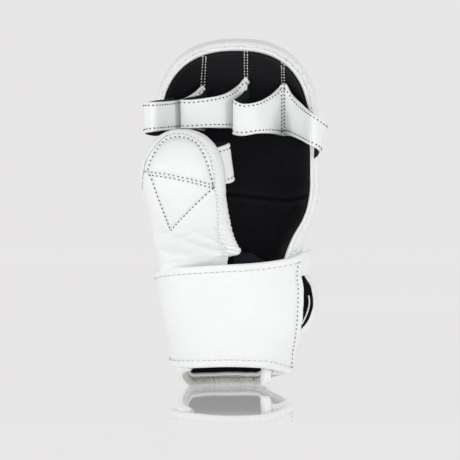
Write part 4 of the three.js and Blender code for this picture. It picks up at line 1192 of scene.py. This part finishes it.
cuff = leather_solid(
    "cuff_leather", band(wall_foot, seam_height, WALL_INNER), band(wall_foot, seam_height, 0.0),
    rows_between(CUFF_LEFT_END, CUFF_RIGHT_END, 240, 0.012), rows_between(0, 1, 56, 0.04),
    cuff_relief, None, (LEATHER,))
fit(cuff, "white_leather", "cuff")
# The cuff's lining uses the darker knit: painted shade for the hollow of the cuff.
cuff_lining = leather_solid(
    "cuff_lining_knit", band(wall_foot, seam_height, WALL_INNER - CLEARANCE),
    band(wall_foot, seam_height, -CUFF_WALL), rows_between(CUFF_LEFT_END, CUFF_RIGHT_END, 150, 0.004),
    rows_between(0, 1, 24, 0.012), None, None, (CUFF_LINING_PAINTED_SHADE,))
fit(cuff_lining, "black_lining", "cuff_lining")
print("cuff lining area:", round(cloth_area(cuff_lining), 4))

# %% [markdown]
# ## The hem
# The cuff's lower edge is bound with soft leather that is gathered into close pleats, because it
# goes round a curve. The pleats are deepest inside, where the camera looks under the strap. The
# inside face has a darker copy of the leather, darkest in its creases: painted shade of the cuff's
# hollow. The glove stands on the back of this hem.


# %% The hem
def hem_relief(spot):
    pleat = 1.9 * gathers(spot.x + 2.2 * spot.v, spot.y * 0.5, 3.6, 161, 0.9)
    tuck = 1.9 * valley(spot.v - 0.72, 0.08) + 1.3 * valley(spot.v - 0.12, 0.06)
    swell = 0.35 * noise(spot.x / 6, spot.y / 4, 163)
    return (pleat + tuck + swell + 0.6 * np.sin(spot.v * np.pi)) * spot.swell


def hem_outer_relief(spot):
    return mix(0.35, 1.0, np.clip((spot.u - 60) / 30, 0, 1)) * hem_relief(spot)


hem = leather_solid("cuff_hem_leather", band(hem_lift, hem_top, -CUFF_WALL), band(hem_lift, hem_top, 0.0),
                    rows_between(CUFF_LEFT_END, CUFF_RIGHT_END, 560, 0.012), rows_between(0, 1, 20, 0.3),
                    hem_outer_relief, hem_relief, (HEM, HEM_INSIDE_PAINTED_SHADE), 1)
fit(hem, "hem_leather", "cuff_hem")

# %% [markdown]
# ## The cuff's right end
# The end of the wall and of the hem is closed by one upright edging. The strap hides most of it,
# but its soft foot shows below the strap and bears on the table.


# %% The edging of the right end
END_FOOT = 4.6  # the soft foot is bent up this far from the floor


def end_foot(degrees):
    return END_FOOT + 0 * degrees


def end_relief(spot):
    return (0.25 * gathers(spot.y, spot.x, 6.0, 171) + 0.2 * noise(spot.x / 5, spot.y / 6, 173)) * spot.swell


cuff_end = leather_solid(
    "cuff_end_edging_leather", band(end_foot, seam_height, -CUFF_WALL), band(end_foot, seam_height, 0.0),
    rows_between(CUFF_RIGHT_END + 1, CUFF_RIGHT_END + CUFF_EDGING, 16, 0.3), rows_between(0, 1, 90, 0.045),
    end_relief, None, (EDGING,))
fit(cuff_end, "white_edging", "cuff_end_edging")

# %% [markdown]
# ## The gusset and the hook patch
# Between the thumb's foot and the cuff's end a ribbed elastic lets the hand in. The ribs are
# relief on its grid. The hook patch is a thin woven ground, and its hooks are scattered later
# by Geometry Nodes.


# %% The gusset
RIB_WIDTH = 1.5
GUSSET_FACE = -CUFF_WALL - CLEARANCE


def gusset_top(degrees):
    return strap_top(degrees) + GUSSET_RISE * column(GUSSET_EDGE, "rise", degrees, "angle")


def gusset_foot(degrees):
    return 0.83 * CUFF_HEIGHT + 0 * degrees


def rib_relief(spot):
    return 0.22 * np.sin(spot.x * 2 * np.pi / RIB_WIDTH) * spot.swell


gusset = leather_solid(
    "palm_gusset_elastic", band(gusset_foot, gusset_top, GUSSET_FACE - GUSSET_THICKNESS),
    band(gusset_foot, gusset_top, GUSSET_FACE), rows_between(GUSSET_FROM, GUSSET_TO, 120, 0.03),
    rows_between(0, 1, 20, 0.03), rib_relief, None, (ELASTIC,))
fit(gusset, "elastic", "palm_gusset")


# %% The hook patch's ground
HOOK_PILE = 0.5  # of the patch's thickness, which the hooks take


def patch_sheet(distance):
    def sheet(u, t):
        z = CUFF_HEIGHT * mix(HOOK_PATCH["from"], HOOK_PATCH["to"], t)
        return wrist_point(mix(column(HOOK_PATCH_EDGE, "angle", t), HOOK_PATCH["inner"], u), z, distance)
    return sheet


patch_face = patch_sheet(CLEARANCE + HOOK_PATCH_THICKNESS - HOOK_PILE)
hook_patch = leather_solid(
    "hook_patch_ground", patch_sheet(CLEARANCE), patch_face, rows_between(0, 1, 24, 0.03),
    rows_between(0, 1, 40, 0.015), None, None, (HOOK_GROUND,))
fit(hook_patch, "hook_fabric", "hook_patch")
print("gusset and patch areas:", round(cloth_area(gusset), 5), round(cloth_area(hook_patch), 5))

# %% [markdown]
# ## The strap
# The strap is two layers of leather over thin foam, sewn on at the back of the cuff. It goes
# round the left side and the front, over the hooks. Its long edges are rolled over a cord, and
# the bent leather shows shallow creases along the strap.


# %% The strap's leather
TUCK = 1.3  # how far the strap goes in under its rolled edges
STRAP_LENGTH = 185.0  # along its middle
STRAP_BODY = 67.0  # its height between the rolled edges
END_SEAM = 6.5  # from the strap's end to its stitches


def low_edging(degrees):
    return strap_bottom(degrees) + STRAP_EDGE


def high_edging(degrees):
    return strap_top(degrees) - STRAP_EDGE


def body_low(degrees):
    return low_edging(degrees) - TUCK


def body_high(degrees):
    return high_edging(degrees) + TUCK


def strap_relief(spot):
    crease = 0.45 * gathers(spot.y + 0.03 * spot.x, spot.x * 0.22, 10.0, 181, 2.2)
    off = np.minimum(spot.v, 1 - spot.v) * STRAP_BODY
    edge = 0.7 * valley(off - 1.5, 1.0) + 0.55 * valley(off - 5.4, 1.2) + 0.3 * valley(off - 9.5, 1.6)
    end = 0.5 * valley((1 - spot.u) * STRAP_LENGTH - END_SEAM, 1.0)
    swell = 0.45 * noise(spot.x / 30, spot.y / 18, 183) + 0.15 * noise(spot.x / 9, spot.y / 7, 184)
    return (crease + edge + end + swell) * spot.swell


strap = leather_solid(
    "wrist_strap_leather", strap_band(body_low, body_high, strap_end, 0.0),
    strap_band(body_low, body_high, strap_end, STRAP_THICKNESS), rows_between(0, 1, 250, 0.006),
    rows_between(0, 1, 64, 0.02), strap_relief, None, (LEATHER,))
fit(strap, "white_leather", "wrist_strap")
print("strap area:", round(cloth_area(strap), 4))

# %% [markdown]
# ## The strap's upper edge and its tongue
# The rolled upper edge runs on past the strap's end, up to the shell's rim. Below it a small
# tongue of leather fills the corner between the edge and the cuff. It narrows in a curve, which
# a band between two heights gives as well, and it is gathered where it bends.


# %% The upper edge
TAIL_FROM, TAIL_TO = -230.0, -258.0  # the tongue's two ends
TAIL_FOOT = 86.4  # the height of its lower edge where it starts
TAIL_NEAR, TAIL_FAR = 0.2, 2.6  # its two faces, in mm from the wrist's section


def edging_relief(seed):
    def relief(spot):
        small = 0.16 * gathers(spot.x, spot.y, 5.0, seed) + 0.2 * noise(spot.x / 9, spot.y / 3, seed + 2)
        return (small + 0.2 * np.sin(spot.v * np.pi)) * spot.swell
    return relief


def tail_end(height):
    return TAIL_TO + 2.0 + 0 * height


top_edging = leather_solid(
    "strap_top_edging_leather", strap_band(high_edging, strap_top, tail_end, 0.0),
    strap_band(high_edging, strap_top, tail_end, STRAP_THICKNESS + STRAP_EDGE_BULGE),
    rows_between(0, 1, 320, 0.007, 0.03), rows_between(0, 1, 16, 0.14, 0.36),
    edging_relief(191), None, (EDGING,))
fit(top_edging, "white_edging", "strap_top_edging")


# %% The tongue
def tail_head(degrees):
    return high_edging(degrees) + 1.2


def tail_foot(degrees):
    """The tongue's lower edge, which rises in a curve to its end."""
    share = np.clip((TAIL_FROM - degrees) / (TAIL_FROM - TAIL_TO), 0, 1)
    return mix(TAIL_FOOT, tail_head(degrees) - 3.0, 1 - np.sqrt(1 - share**2.6 * 0.98))


def tail_relief(spot):
    folds = 1.0 * gathers(spot.x + 0.3 * spot.y, spot.y, 6.0, 221, 1.6)
    return (folds + 0.3 * noise(spot.x / 6, spot.y / 6, 223)) * spot.swell


tail = leather_solid("strap_tail_leather", band(tail_foot, tail_head, TAIL_NEAR),
                     band(tail_foot, tail_head, TAIL_FAR), rows_between(TAIL_TO, TAIL_FROM, 80, 0.03),
                     rows_between(0, 1, 24, 0.05), tail_relief, None, (LEATHER,))
fit(tail, "white_leather")
print("tongue area:", round(cloth_area(tail), 5))

# %% The lower edge
bottom_edging = leather_solid(
    "strap_bottom_edging_leather", strap_band(strap_bottom, low_edging, strap_end, 0.0),
    strap_band(strap_bottom, low_edging, strap_end, STRAP_THICKNESS + STRAP_EDGE_BULGE),
    rows_between(0, 1, 290, 0.007), rows_between(0, 1, 16, 0.36, 0.14), edging_relief(201), None, (EDGING,))
fit(bottom_edging, "white_edging", "strap_bottom_edging")

# %% [markdown]
# ## Piping
# The rim is finished with a thin white piping: leather wrapped round a cord and caught in the
# seam. It follows a path, so Geometry Nodes sweep a round profile along a line of points.
# A bevelled curve object would look the same, but the tree can be reused for every cord.


# %% Helpers for trees of Geometry Nodes
def new_tree(name, sockets):
    """A tree with named inputs, its input node and its output node."""
    tree = bpy.data.node_groups.new(name, "GeometryNodeTree")
    tree.interface.new_socket("Geometry", in_out="INPUT", socket_type="NodeSocketGeometry")
    for label, kind in sockets:
        tree.interface.new_socket(label, in_out="INPUT", socket_type=kind)
    tree.interface.new_socket("Geometry", in_out="OUTPUT", socket_type="NodeSocketGeometry")
    return tree, tree.nodes.new("NodeGroupInput"), tree.nodes.new("NodeGroupOutput")


def joined(tree, kind, settings=None, **sockets):
    """A new node, with its inputs set or linked by name."""
    node = tree.nodes.new(kind)
    for name, value in (settings or {}).items():
        setattr(node, name, value)
    for name, value in sockets.items():
        socket = node.inputs[name.replace("_", " ")]
        if isinstance(value, bpy.types.NodeSocket):
            tree.links.new(value, socket)
        else:
            socket.default_value = value
    return node


def finish_tree(tree, geometry, material, output):
    """The tree's last nodes: real meshes, with their material, shaded smooth."""
    real = joined(tree, "GeometryNodeRealizeInstances", Geometry=geometry)
    coloured = joined(tree, "GeometryNodeSetMaterial", Geometry=real.outputs[0], Material=material)
    smooth = joined(tree, "GeometryNodeSetShadeSmooth", Geometry=coloured.outputs[0])
    tree.links.new(smooth.outputs[0], output.inputs[0])


def grown(name, tree, source, inputs):
    """The tree's result on a mesh of lines, as a plain mesh object."""
    carrier = bpy.data.objects.new(name + "_path", source)
    bpy.context.scene.collection.objects.link(carrier)
    modifier = carrier.modifiers.new("made by nodes", "NODES")
    modifier.node_group = tree
    for item in tree.interface.items_tree:
        if item.item_type == "SOCKET" and item.in_out == "INPUT" and item.name in inputs:
            modifier[item.identifier] = inputs[item.name]
    graph = bpy.context.evaluated_depsgraph_get()
    mesh = bpy.data.meshes.new_from_object(carrier.evaluated_get(graph))
    carrier.modifiers.remove(modifier)
    bpy.data.objects.remove(carrier)
    piece = bpy.data.objects.new(name, mesh)
    bpy.context.scene.collection.objects.link(piece)
    print(f"{name}: {len(mesh.polygons)} faces")
    return piece


def line_mesh(name, lines, facings=None):
    """Lines of points in metres as one mesh, with the way that each point faces."""
    mesh = bpy.data.meshes.new(name)
    edges, total = [], 0
    for line in lines:
        edges += [(total + k, total + k + 1) for k in range(len(line) - 1)]
        total += len(line)
    mesh.from_pydata(np.concatenate(lines).tolist(), edges, [])
    if facings is not None:
        mesh.attributes.new("facing", "FLOAT_VECTOR", "POINT").data.foreach_set(
            "vector", np.concatenate(facings).astype(float).ravel())
    return mesh


# %% The piping tree
piping_tree, source, result = new_tree("piping", [
    ("Radius", "NodeSocketFloat"), ("Leather", "NodeSocketMaterial")])
path = joined(piping_tree, "GeometryNodeMeshToCurve", Mesh=source.outputs["Geometry"])
profile = joined(piping_tree, "GeometryNodeCurvePrimitiveCircle", Resolution=12,
                 Radius=source.outputs["Radius"])
sweep = joined(piping_tree, "GeometryNodeCurveToMesh", Curve=path.outputs[0], Profile_Curve=profile.outputs[0],
               Fill_Caps=True)
finish_tree(piping_tree, sweep.outputs[0], source.outputs["Leather"], result)


# %% Laying lines on the leather
class Skin:
    """The surface of finished pieces, which finds where a seam lies on them."""

    def __init__(self, *pieces):
        places, faces = [], []
        for piece in pieces:
            first = len(places)
            places += [vertex.co.copy() for vertex in piece.data.vertices]
            faces += [tuple(first + k for k in face.vertices) for face in piece.data.polygons]
        self.tree = BVHTree.FromPolygons(places, faces)

    def below(self, line):
        """The line (mm, in the sizes' frame) set on the nearest surface."""
        found = [self.tree.find_nearest(Vector(p * MM)) for p in line + SHIFT]
        return np.array([hit[0] for hit in found]), np.array([hit[1] for hit in found])

    def seen(self, line):
        """The line as the camera sees it against the seam plane, set on what is there."""
        kept, facings = [], []
        for x, z in line:
            way = (Vector((x * MM, 0.0, z * MM)) - EYE).normalized()
            hit, normal, _, _ = self.tree.ray_cast(EYE, way)
            if hit is not None:
                kept.append(hit)
                facings.append(normal if normal.dot(way) < 0 else -normal)
        return np.array(kept), np.array(facings)


def finer(line, step=0.8):
    """A line with corners, with points every step."""
    line = np.array(line, float)
    parts = []
    for a, b in zip(line[:-1], line[1:]):
        count = max(int(np.linalg.norm(b - a) / step), 1)
        parts.append(a + (b - a) * np.linspace(0, 1, count, endpoint=False)[:, None])
    return np.concatenate(parts + [line[-1:]])


# %% The rim's piping
PIPING_FROM, PIPING_TO, PIPING_SET_OUT = 0.14, 0.968, 0.13
rim_s = np.linspace(PIPING_FROM, PIPING_TO, 300)
_, rim, outline = shell_edge(rim_s)
waver = 0.18 * noise(rim_s * 60, 0, 211)
piping_line = points(mix(rim[0], outline[0], PIPING_SET_OUT),
                     rim[1] - PIPING_RADIUS - CLEARANCE + 0.15 * waver,
                     mix(rim[2], outline[2], PIPING_SET_OUT) + waver)
piping = grown("rim_piping_leather", piping_tree, line_mesh("rim line", [(piping_line + SHIFT) * MM]),
               {"Radius": PIPING_RADIUS * MM, "Leather": EDGING})
fit(piping, "white_edging", "rim_piping")

# %% [markdown]
# ## Two more cords
# A thin white cord is sewn on the hook patch in a bow, and the hem's upper edge inside the cuff
# is piped as the rim is. Both use the same tree with their own radius. The bow is laid out as
# the camera sees it, and then set just in front of the hooks.


# %% The cord on the hooks
CORD_RADIUS, CORD_LIFT = 0.6, 0.9
HOOK_CORD = [(56.2, 71.2), (57.0, 67.0), (56.3, 61.5), (54.6, 56.6), (52.6, 52.0), (51.0, 49.4)]
cord_places, cord_facings = Skin(hook_patch, cuff).seen(finer(HOOK_CORD))
cord_line = calmed(cord_places + cord_facings * CORD_LIFT * MM, 6)
hook_cord = grown("hook_patch_cord", piping_tree, line_mesh("hook cord line", [cord_line]),
                  {"Radius": CORD_RADIUS * MM, "Leather": EDGING})
fit(hook_cord, "white_edging")

# %% The hem's inner piping
HEM_PIPING_RADIUS = 1.5
hem_degrees = np.linspace(CUFF_LEFT_END + 2, CUFF_RIGHT_END - 2, 320)
hem_waver = 0.25 * noise(hem_degrees / 9, 0, 213)
hem_line = wrist_point(hem_degrees, hem_top(hem_degrees) + 0.2 + hem_waver, -CUFF_WALL + 0.1)
hem_piping = grown("hem_piping_leather", piping_tree, line_mesh("hem line", [(hem_line + SHIFT) * MM]),
                   {"Radius": HEM_PIPING_RADIUS * MM, "Leather": EDGING})
fit(hem_piping, "white_edging")

# %% [markdown]
# ## Stitches
# A seam is a row of short stitches that sink a little into the leather. Geometry Nodes lay them:
# a line is cut at the stitch length, and a small ellipsoid is set on each point, turned along
# the line and on to the surface. Each stitch has only a few dozen faces, as there are hundreds.


# %% The stitch tree
stitch_tree, source, result = new_tree("row of stitches", [
    ("Pitch", "NodeSocketFloat"), ("Length", "NodeSocketFloat"), ("Thickness", "NodeSocketFloat"),
    ("Thread", "NodeSocketMaterial")])
path = joined(stitch_tree, "GeometryNodeMeshToCurve", Mesh=source.outputs["Geometry"])
cut = joined(stitch_tree, "GeometryNodeResampleCurve", {"mode": "LENGTH"}, Curve=path.outputs[0])
stitch_tree.links.new(source.outputs["Pitch"], cut.inputs["Length"])
facing = joined(stitch_tree, "GeometryNodeInputNamedAttribute", {"data_type": "FLOAT_VECTOR"}, Name="facing")
tangent = joined(stitch_tree, "GeometryNodeInputTangent")
upright = joined(stitch_tree, "FunctionNodeAlignRotationToVector", {"axis": "Z"}, Vector=facing.outputs[0])
turned = joined(stitch_tree, "FunctionNodeAlignRotationToVector", {"axis": "X", "pivot_axis": "Z"},
                Rotation=upright.outputs[0], Vector=tangent.outputs[0])
uneven = joined(stitch_tree, "FunctionNodeRandomValue", {"data_type": "FLOAT"}, Seed=7)
uneven.inputs[2].default_value, uneven.inputs[3].default_value = 0.88, 1.1
longer = joined(stitch_tree, "ShaderNodeMath", {"operation": "MULTIPLY"})
stitch_tree.links.new(source.outputs["Length"], longer.inputs[0])
stitch_tree.links.new(uneven.outputs[1], longer.inputs[1])
sizes = joined(stitch_tree, "ShaderNodeCombineXYZ", X=longer.outputs[0], Y=source.outputs["Thickness"],
               Z=source.outputs["Thickness"])
bead = joined(stitch_tree, "GeometryNodeMeshUVSphere", Segments=6, Rings=5, Radius=0.5)
laid = joined(stitch_tree, "GeometryNodeInstanceOnPoints", Points=cut.outputs[0], Instance=bead.outputs[0],
              Rotation=turned.outputs[0], Scale=sizes.outputs[0])
finish_tree(stitch_tree, laid.outputs[0], source.outputs["Thread"], result)


# %% Sewing
# Each kind of stitch is its pitch, length and thickness, in mm.
LOOP_STITCH, PATCH_STITCH, BINDING_STITCH = (3.5, 1.5, 1.0), (3.3, 1.5, 0.95), (3.2, 1.5, 0.75)
RIM_STITCH, LINING_STITCH, JUNCTION_STITCH = (3.4, 1.7, 0.75), (2.95, 2.0, 1.0), (3.0, 1.5, 1.0)
STRAP_STITCH, END_STITCH, BACK_STITCH = (4.3, 2.1, 0.65), (3.3, 1.7, 0.85), (3.2, 2.1, 0.6)


def sew(name, rows, stitch, thread_finish, slot="white_leather", lift=0.1):
    """Rows of stitches as one piece. Each row is places on a surface and the ways it faces there."""
    lines, facings = [], []
    for places, facing_rows in rows:
        if len(places) < 3:
            continue
        facing_rows = calmed(facing_rows.copy())
        lines.append(calmed(places.copy(), 2) + facing_rows * lift * MM)
        facings.append(facing_rows)
    pitch, length, thickness = (size * MM for size in stitch)
    piece = grown(name, stitch_tree, line_mesh(name + " line", lines, facings), {
        "Pitch": pitch, "Length": length, "Thickness": thickness, "Thread": thread_finish})
    return fit(piece, slot)


# %% Stitches of the finger loops and the thumb loop
def loop_rows(name):
    piece, far, height = loops[name]
    u = np.linspace(0.015, 0.985, 170)
    skin = Skin(piece)
    return [skin.below(far(u, np.full(len(u), v))) for v in (LOOP_SEAM / height, 1 - LOOP_SEAM / height)]


for name in loops:
    sew(name + "_stitches", loop_rows(name), LOOP_STITCH, THREAD_BLACK, lift=0.28)

# %% Stitches of the thumb cover
thumb_skin = Skin(thumb_cover, thumb_binding)
patch_rows = [thumb_skin.seen(finer(line)) for line in PATCH_LINES]
sew("thumb_patch_stitches", patch_rows, PATCH_STITCH, THREAD_BLACK, lift=0.25)
sew("thumb_binding_stitches", [thumb_skin.seen(finer(BINDING_SEAM))], BINDING_STITCH, THREAD_PALE,
    "white_edging", 0.15)

# %% Stitches in the groove of the shell's rim
shell_skin = Skin(hand_shell)
groove_s = np.linspace(0.3, 0.7, 320)
groove_row = [shell_skin.below(shell_outside(groove_s, inward(shell_outside, groove_s, GROOVE)))]
sew("rim_stitches", groove_row, RIM_STITCH, THREAD_GREY, "white_edging", 0.35)

# %% Double stitches that hold the loops to the lining
LINING_SEAMS = [
    [(-24.5, 255.0), (-26.2, 231.1)], [(-22.3, 255.0), (-23.5, 231.1)],
    [(7.4, 259.6), (7.5, 239.6)], [(9.7, 259.6), (9.8, 239.6)],
    [(36.1, 252.6), (36.4, 234.9)], [(38.0, 252.6), (38.3, 234.9)],
]
lining_skin = Skin(shell_lining)
seam_rows = [lining_skin.seen(finer(line)) for line in LINING_SEAMS]
sew("lining_stitches", seam_rows, LINING_STITCH, THREAD_WHITE, "black_lining", 0.35)
JUNCTION_SEAMS = [[(36.0, 233.8), (36.0, 194.0)], [(38.3, 233.8), (38.3, 194.0)]]
junction_skin = Skin(shell_lining, loops["finger_loop_ring"][0], loops["finger_loop_little"][0])
junction_rows = [junction_skin.seen(finer(line)) for line in JUNCTION_SEAMS]
sew("loop_junction_stitches", junction_rows, JUNCTION_STITCH, THREAD_BLACK, lift=0.3)

# %% Stitches of the strap
STITCH_IN = 6.1  # from the strap's edge to its stitches
ABOVE_STRAP = 1.0  # where a row starts before it is set on the strap
strap_skin = Skin(strap, top_edging, bottom_edging)


def on_strap(low, high, u, t):
    return strap_skin.below(strap_band(low, high, strap_end, STRAP_THICKNESS + ABOVE_STRAP)(u, t))


def strap_row(height):
    u = np.linspace(0.01, 0.975, 420)
    return on_strap(height, height, u, np.zeros(len(u)))


strap_rows = [strap_row(lambda a: strap_top(a) - STITCH_IN), strap_row(lambda a: strap_bottom(a) + STITCH_IN)]
sew("strap_edge_stitches", strap_rows, STRAP_STITCH, THREAD_PALE, "white_edging", 0.2)
end_t = np.linspace(0.02, 0.98, 160)
end_row = [on_strap(body_low, body_high, np.full(len(end_t), 1 - END_SEAM / STRAP_LENGTH), end_t)]
sew("strap_end_stitches", end_row, END_STITCH, THREAD_GREY, lift=0.2)

# %% Stitches on the back of the shell
BEHIND = 200.0  # where the rays that find the back start
channel_rows = []
for line in BACK_SEAMS.values():
    across, up = finer(line).T
    starts = (points(across, BEHIND, up) + SHIFT) * MM
    hits = [shell_skin.tree.ray_cast(Vector(start), Vector((0, -1, 0))) for start in starts]
    hits = [hit for hit in hits if hit[0] is not None]
    channel_rows.append((np.array([hit[0] for hit in hits]), np.array([hit[1] for hit in hits])))
sew("back_channel_stitches", channel_rows, BACK_STITCH, THREAD_GREY)

# %% [markdown]
# ## Hooks
# A hook field is a grid of short stiff nylon hooks. Geometry Nodes scatter them with a fixed
# seed on the patch's outer face, each a small cone, and they hide the ground between them.

# %% The hook tree
HOOK_DENSITY, HOOK_HEIGHT = 2.4e6, 0.8  # hooks per square metre, and mm
hook_tree, source, result = new_tree("hooks", [
    ("Hooks per square metre", "NodeSocketFloat"), ("Height", "NodeSocketFloat"),
    ("Nylon", "NodeSocketMaterial")])
scatter = joined(hook_tree, "GeometryNodeDistributePointsOnFaces", {"distribute_method": "RANDOM"},
                 Mesh=source.outputs["Geometry"], Density=source.outputs["Hooks per square metre"], Seed=3)
stalk = joined(hook_tree, "GeometryNodeMeshCone", Vertices=5, Radius_Top=0.12, Radius_Bottom=0.2, Depth=1.0)
stood = joined(hook_tree, "GeometryNodeInstanceOnPoints", Points=scatter.outputs["Points"],
               Instance=stalk.outputs[0], Rotation=scatter.outputs["Rotation"], Scale=(1.0, 1.0, 1.0))
grown_tall = joined(hook_tree, "GeometryNodeScaleInstances", Instances=stood.outputs[0])
tall = joined(hook_tree, "ShaderNodeCombineXYZ", X=source.outputs["Height"], Y=source.outputs["Height"],
              Z=source.outputs["Height"])
hook_tree.links.new(tall.outputs[0], grown_tall.inputs["Scale"])
finish_tree(hook_tree, grown_tall.outputs[0], source.outputs["Nylon"], result)

# %% The hooks on their field
FIELD_ROWS, FIELD_COLUMNS = 12, 24
field = leather_solid("hook_field", patch_sheet(CLEARANCE), patch_face, rows_between(0.04, 0.97, FIELD_ROWS),
                      rows_between(0.02, 0.98, FIELD_COLUMNS), None, None, (HOOK_GROUND,))
outer_faces = [face.vertices[:] for face in field.data.polygons if face.index < FIELD_ROWS * FIELD_COLUMNS]
ground = bpy.data.meshes.new("hook ground")
ground.from_pydata([vertex.co[:] for vertex in field.data.vertices], [], outer_faces)
bpy.data.objects.remove(field)
hooks = grown("hook_patch_hooks", hook_tree, ground, {
    "Hooks per square metre": HOOK_DENSITY, "Height": HOOK_HEIGHT * MM, "Nylon": HOOK})
fit(hooks, "hook_fabric")

# %% [markdown]
# ## The table
# The glove stands on an opal acrylic table, as small things are photographed. The table is lit
# from below as bright as the wall behind, so that it has no visible end, and it mirrors at a
# flat angle, which a Fresnel node gives. Its front is frosted, so the mirror image fades out.

# %% The table
BACKGROUND = linear(232, 230, 231)
FROSTED_TO, CLEAR_FROM = -0.29, -0.15  # y in metres: frosted before the first, clear past the second
TABLE_SIDE, TABLE_FRONT, TABLE_BACK = 7.9, -0.5, 7.9
TABLE_GLOW, GLOW_SHARE, ACRYLIC_IOR, MIRROR_GAIN, POLISH = 1.025, 0.85, 1.5, 1.08, 0.022
floor_mesh = bpy.data.meshes.new("floor")
floor_mesh.from_pydata([(-TABLE_SIDE, TABLE_FRONT, 0), (TABLE_SIDE, TABLE_FRONT, 0),
                        (TABLE_SIDE, TABLE_BACK, 0), (-TABLE_SIDE, TABLE_BACK, 0)], [], [(0, 1, 2, 3)])
floor = bpy.data.objects.new("floor", floor_mesh)
bpy.context.scene.collection.objects.link(floor)

# %% Its opal acrylic
table_top = Finish("pale glossy table", IOR=1.0, Specular_IOR_Level=0.0)
acrylic = table_top.between(table_top.cloud(0.4), (0.93, 0.93, 0.93, 1), (0.95, 0.95, 0.95, 1))
table_top.feed("Base Color", acrylic)
glow = table_top.add("ShaderNodeEmission", {}, {"Color": BACKGROUND, "Strength": TABLE_GLOW})
gloss = table_top.add("ShaderNodeBsdfGlossy", {}, {"Color": (1.0, 1.0, 1.0, 1.0), "Roughness": POLISH})
edge_on = table_top.add("ShaderNodeFresnel", {}, {"IOR": ACRYLIC_IOR}) * MIRROR_GAIN
clear = table_top.add("ShaderNodeMapRange", {"interpolation_type": "SMOOTHSTEP"}, {
    "Value": table_top.parts(table_top.place())[1], "From Min": FROSTED_TO, "From Max": CLEAR_FROM}, "Result")
body = Wire(table_top.tree, table_top.shader.outputs[0])
lit = table_top.add("ShaderNodeMixShader", {}, {0: GLOW_SHARE, 1: body, 2: glow})
film = table_top.add("ShaderNodeMixShader", {}, {0: clear, 1: glow, 2: gloss})
mirrored = table_top.add("ShaderNodeMixShader", {}, {0: edge_on, 1: lit, 2: film})
table_top.show(mirrored)
floor_mesh.materials.append(table_top.material)

# %% [markdown]
# ## The light
# A tent of glowing walls stands round the table. The camera and the table's mirror see it, but
# it lights nothing. A white world, weaker than the walls, and four soft lamps light the glove:
# a weak one in front, one at each side that brings out the padding, and one behind.

# %% The walls of the tent
TENT = (-8, 8)
tent_mesh = bpy.data.meshes.new("tent")
tent_mesh.from_pydata([(x, y, z) for x in TENT for y in TENT for z in TENT], [],
                      [(0, 1, 3, 2), (4, 6, 7, 5), (0, 4, 5, 1), (2, 3, 7, 6), (0, 2, 6, 4), (1, 5, 7, 3)])
tent = bpy.data.objects.new("tent", tent_mesh)
bpy.context.scene.collection.objects.link(tent)
wall = Finish("tent wall")
wall.show(wall.add("ShaderNodeEmission", {}, {"Color": BACKGROUND, "Strength": 1.0}))
tent_mesh.materials.append(wall.material)
tent.visible_diffuse = tent.visible_shadow = False

# %% The world and the lamps
WORLD_LIGHT = 0.56  # of what the walls show
LAMPS = {  # place and target in metres, width in metres, power in watts
    "front lamp": ((-0.15, -2.2, 0.22), (0, 0, 0.12), 1.3, 6.5),
    "left lamp": ((-1.5, -1.2, 0.4), (0, 0, 0.17), 1.0, 11.0),
    "right lamp": ((1.5, -1.2, 0.4), (0, 0, 0.17), 1.0, 9.5),
    "back lamp": ((0.5, 1.9, 0.9), (0, 0, 0.15), 1.2, 9.0),
}
world = bpy.data.worlds.new("white studio")
bpy.context.scene.world = world
world.use_nodes = True
world.node_tree.nodes["Background"].inputs["Color"].default_value = BACKGROUND
world.node_tree.nodes["Background"].inputs["Strength"].default_value = WORLD_LIGHT
for name, (place, target, width, power) in LAMPS.items():
    light = bpy.data.lights.new(name, "AREA")
    light.shape, light.size, light.energy = "DISK", width, power
    lamp = bpy.data.objects.new(name, light)
    lamp.location = place
    lamp.rotation_euler = (Vector(target) - Vector(place)).to_track_quat("-Z", "Y").to_euler()
    lamp.visible_camera = lamp.visible_glossy = False  # the lamps stay out of the table's mirror
    bpy.context.scene.collection.objects.link(lamp)
bpy.context.scene.view_settings.view_transform = "Standard"
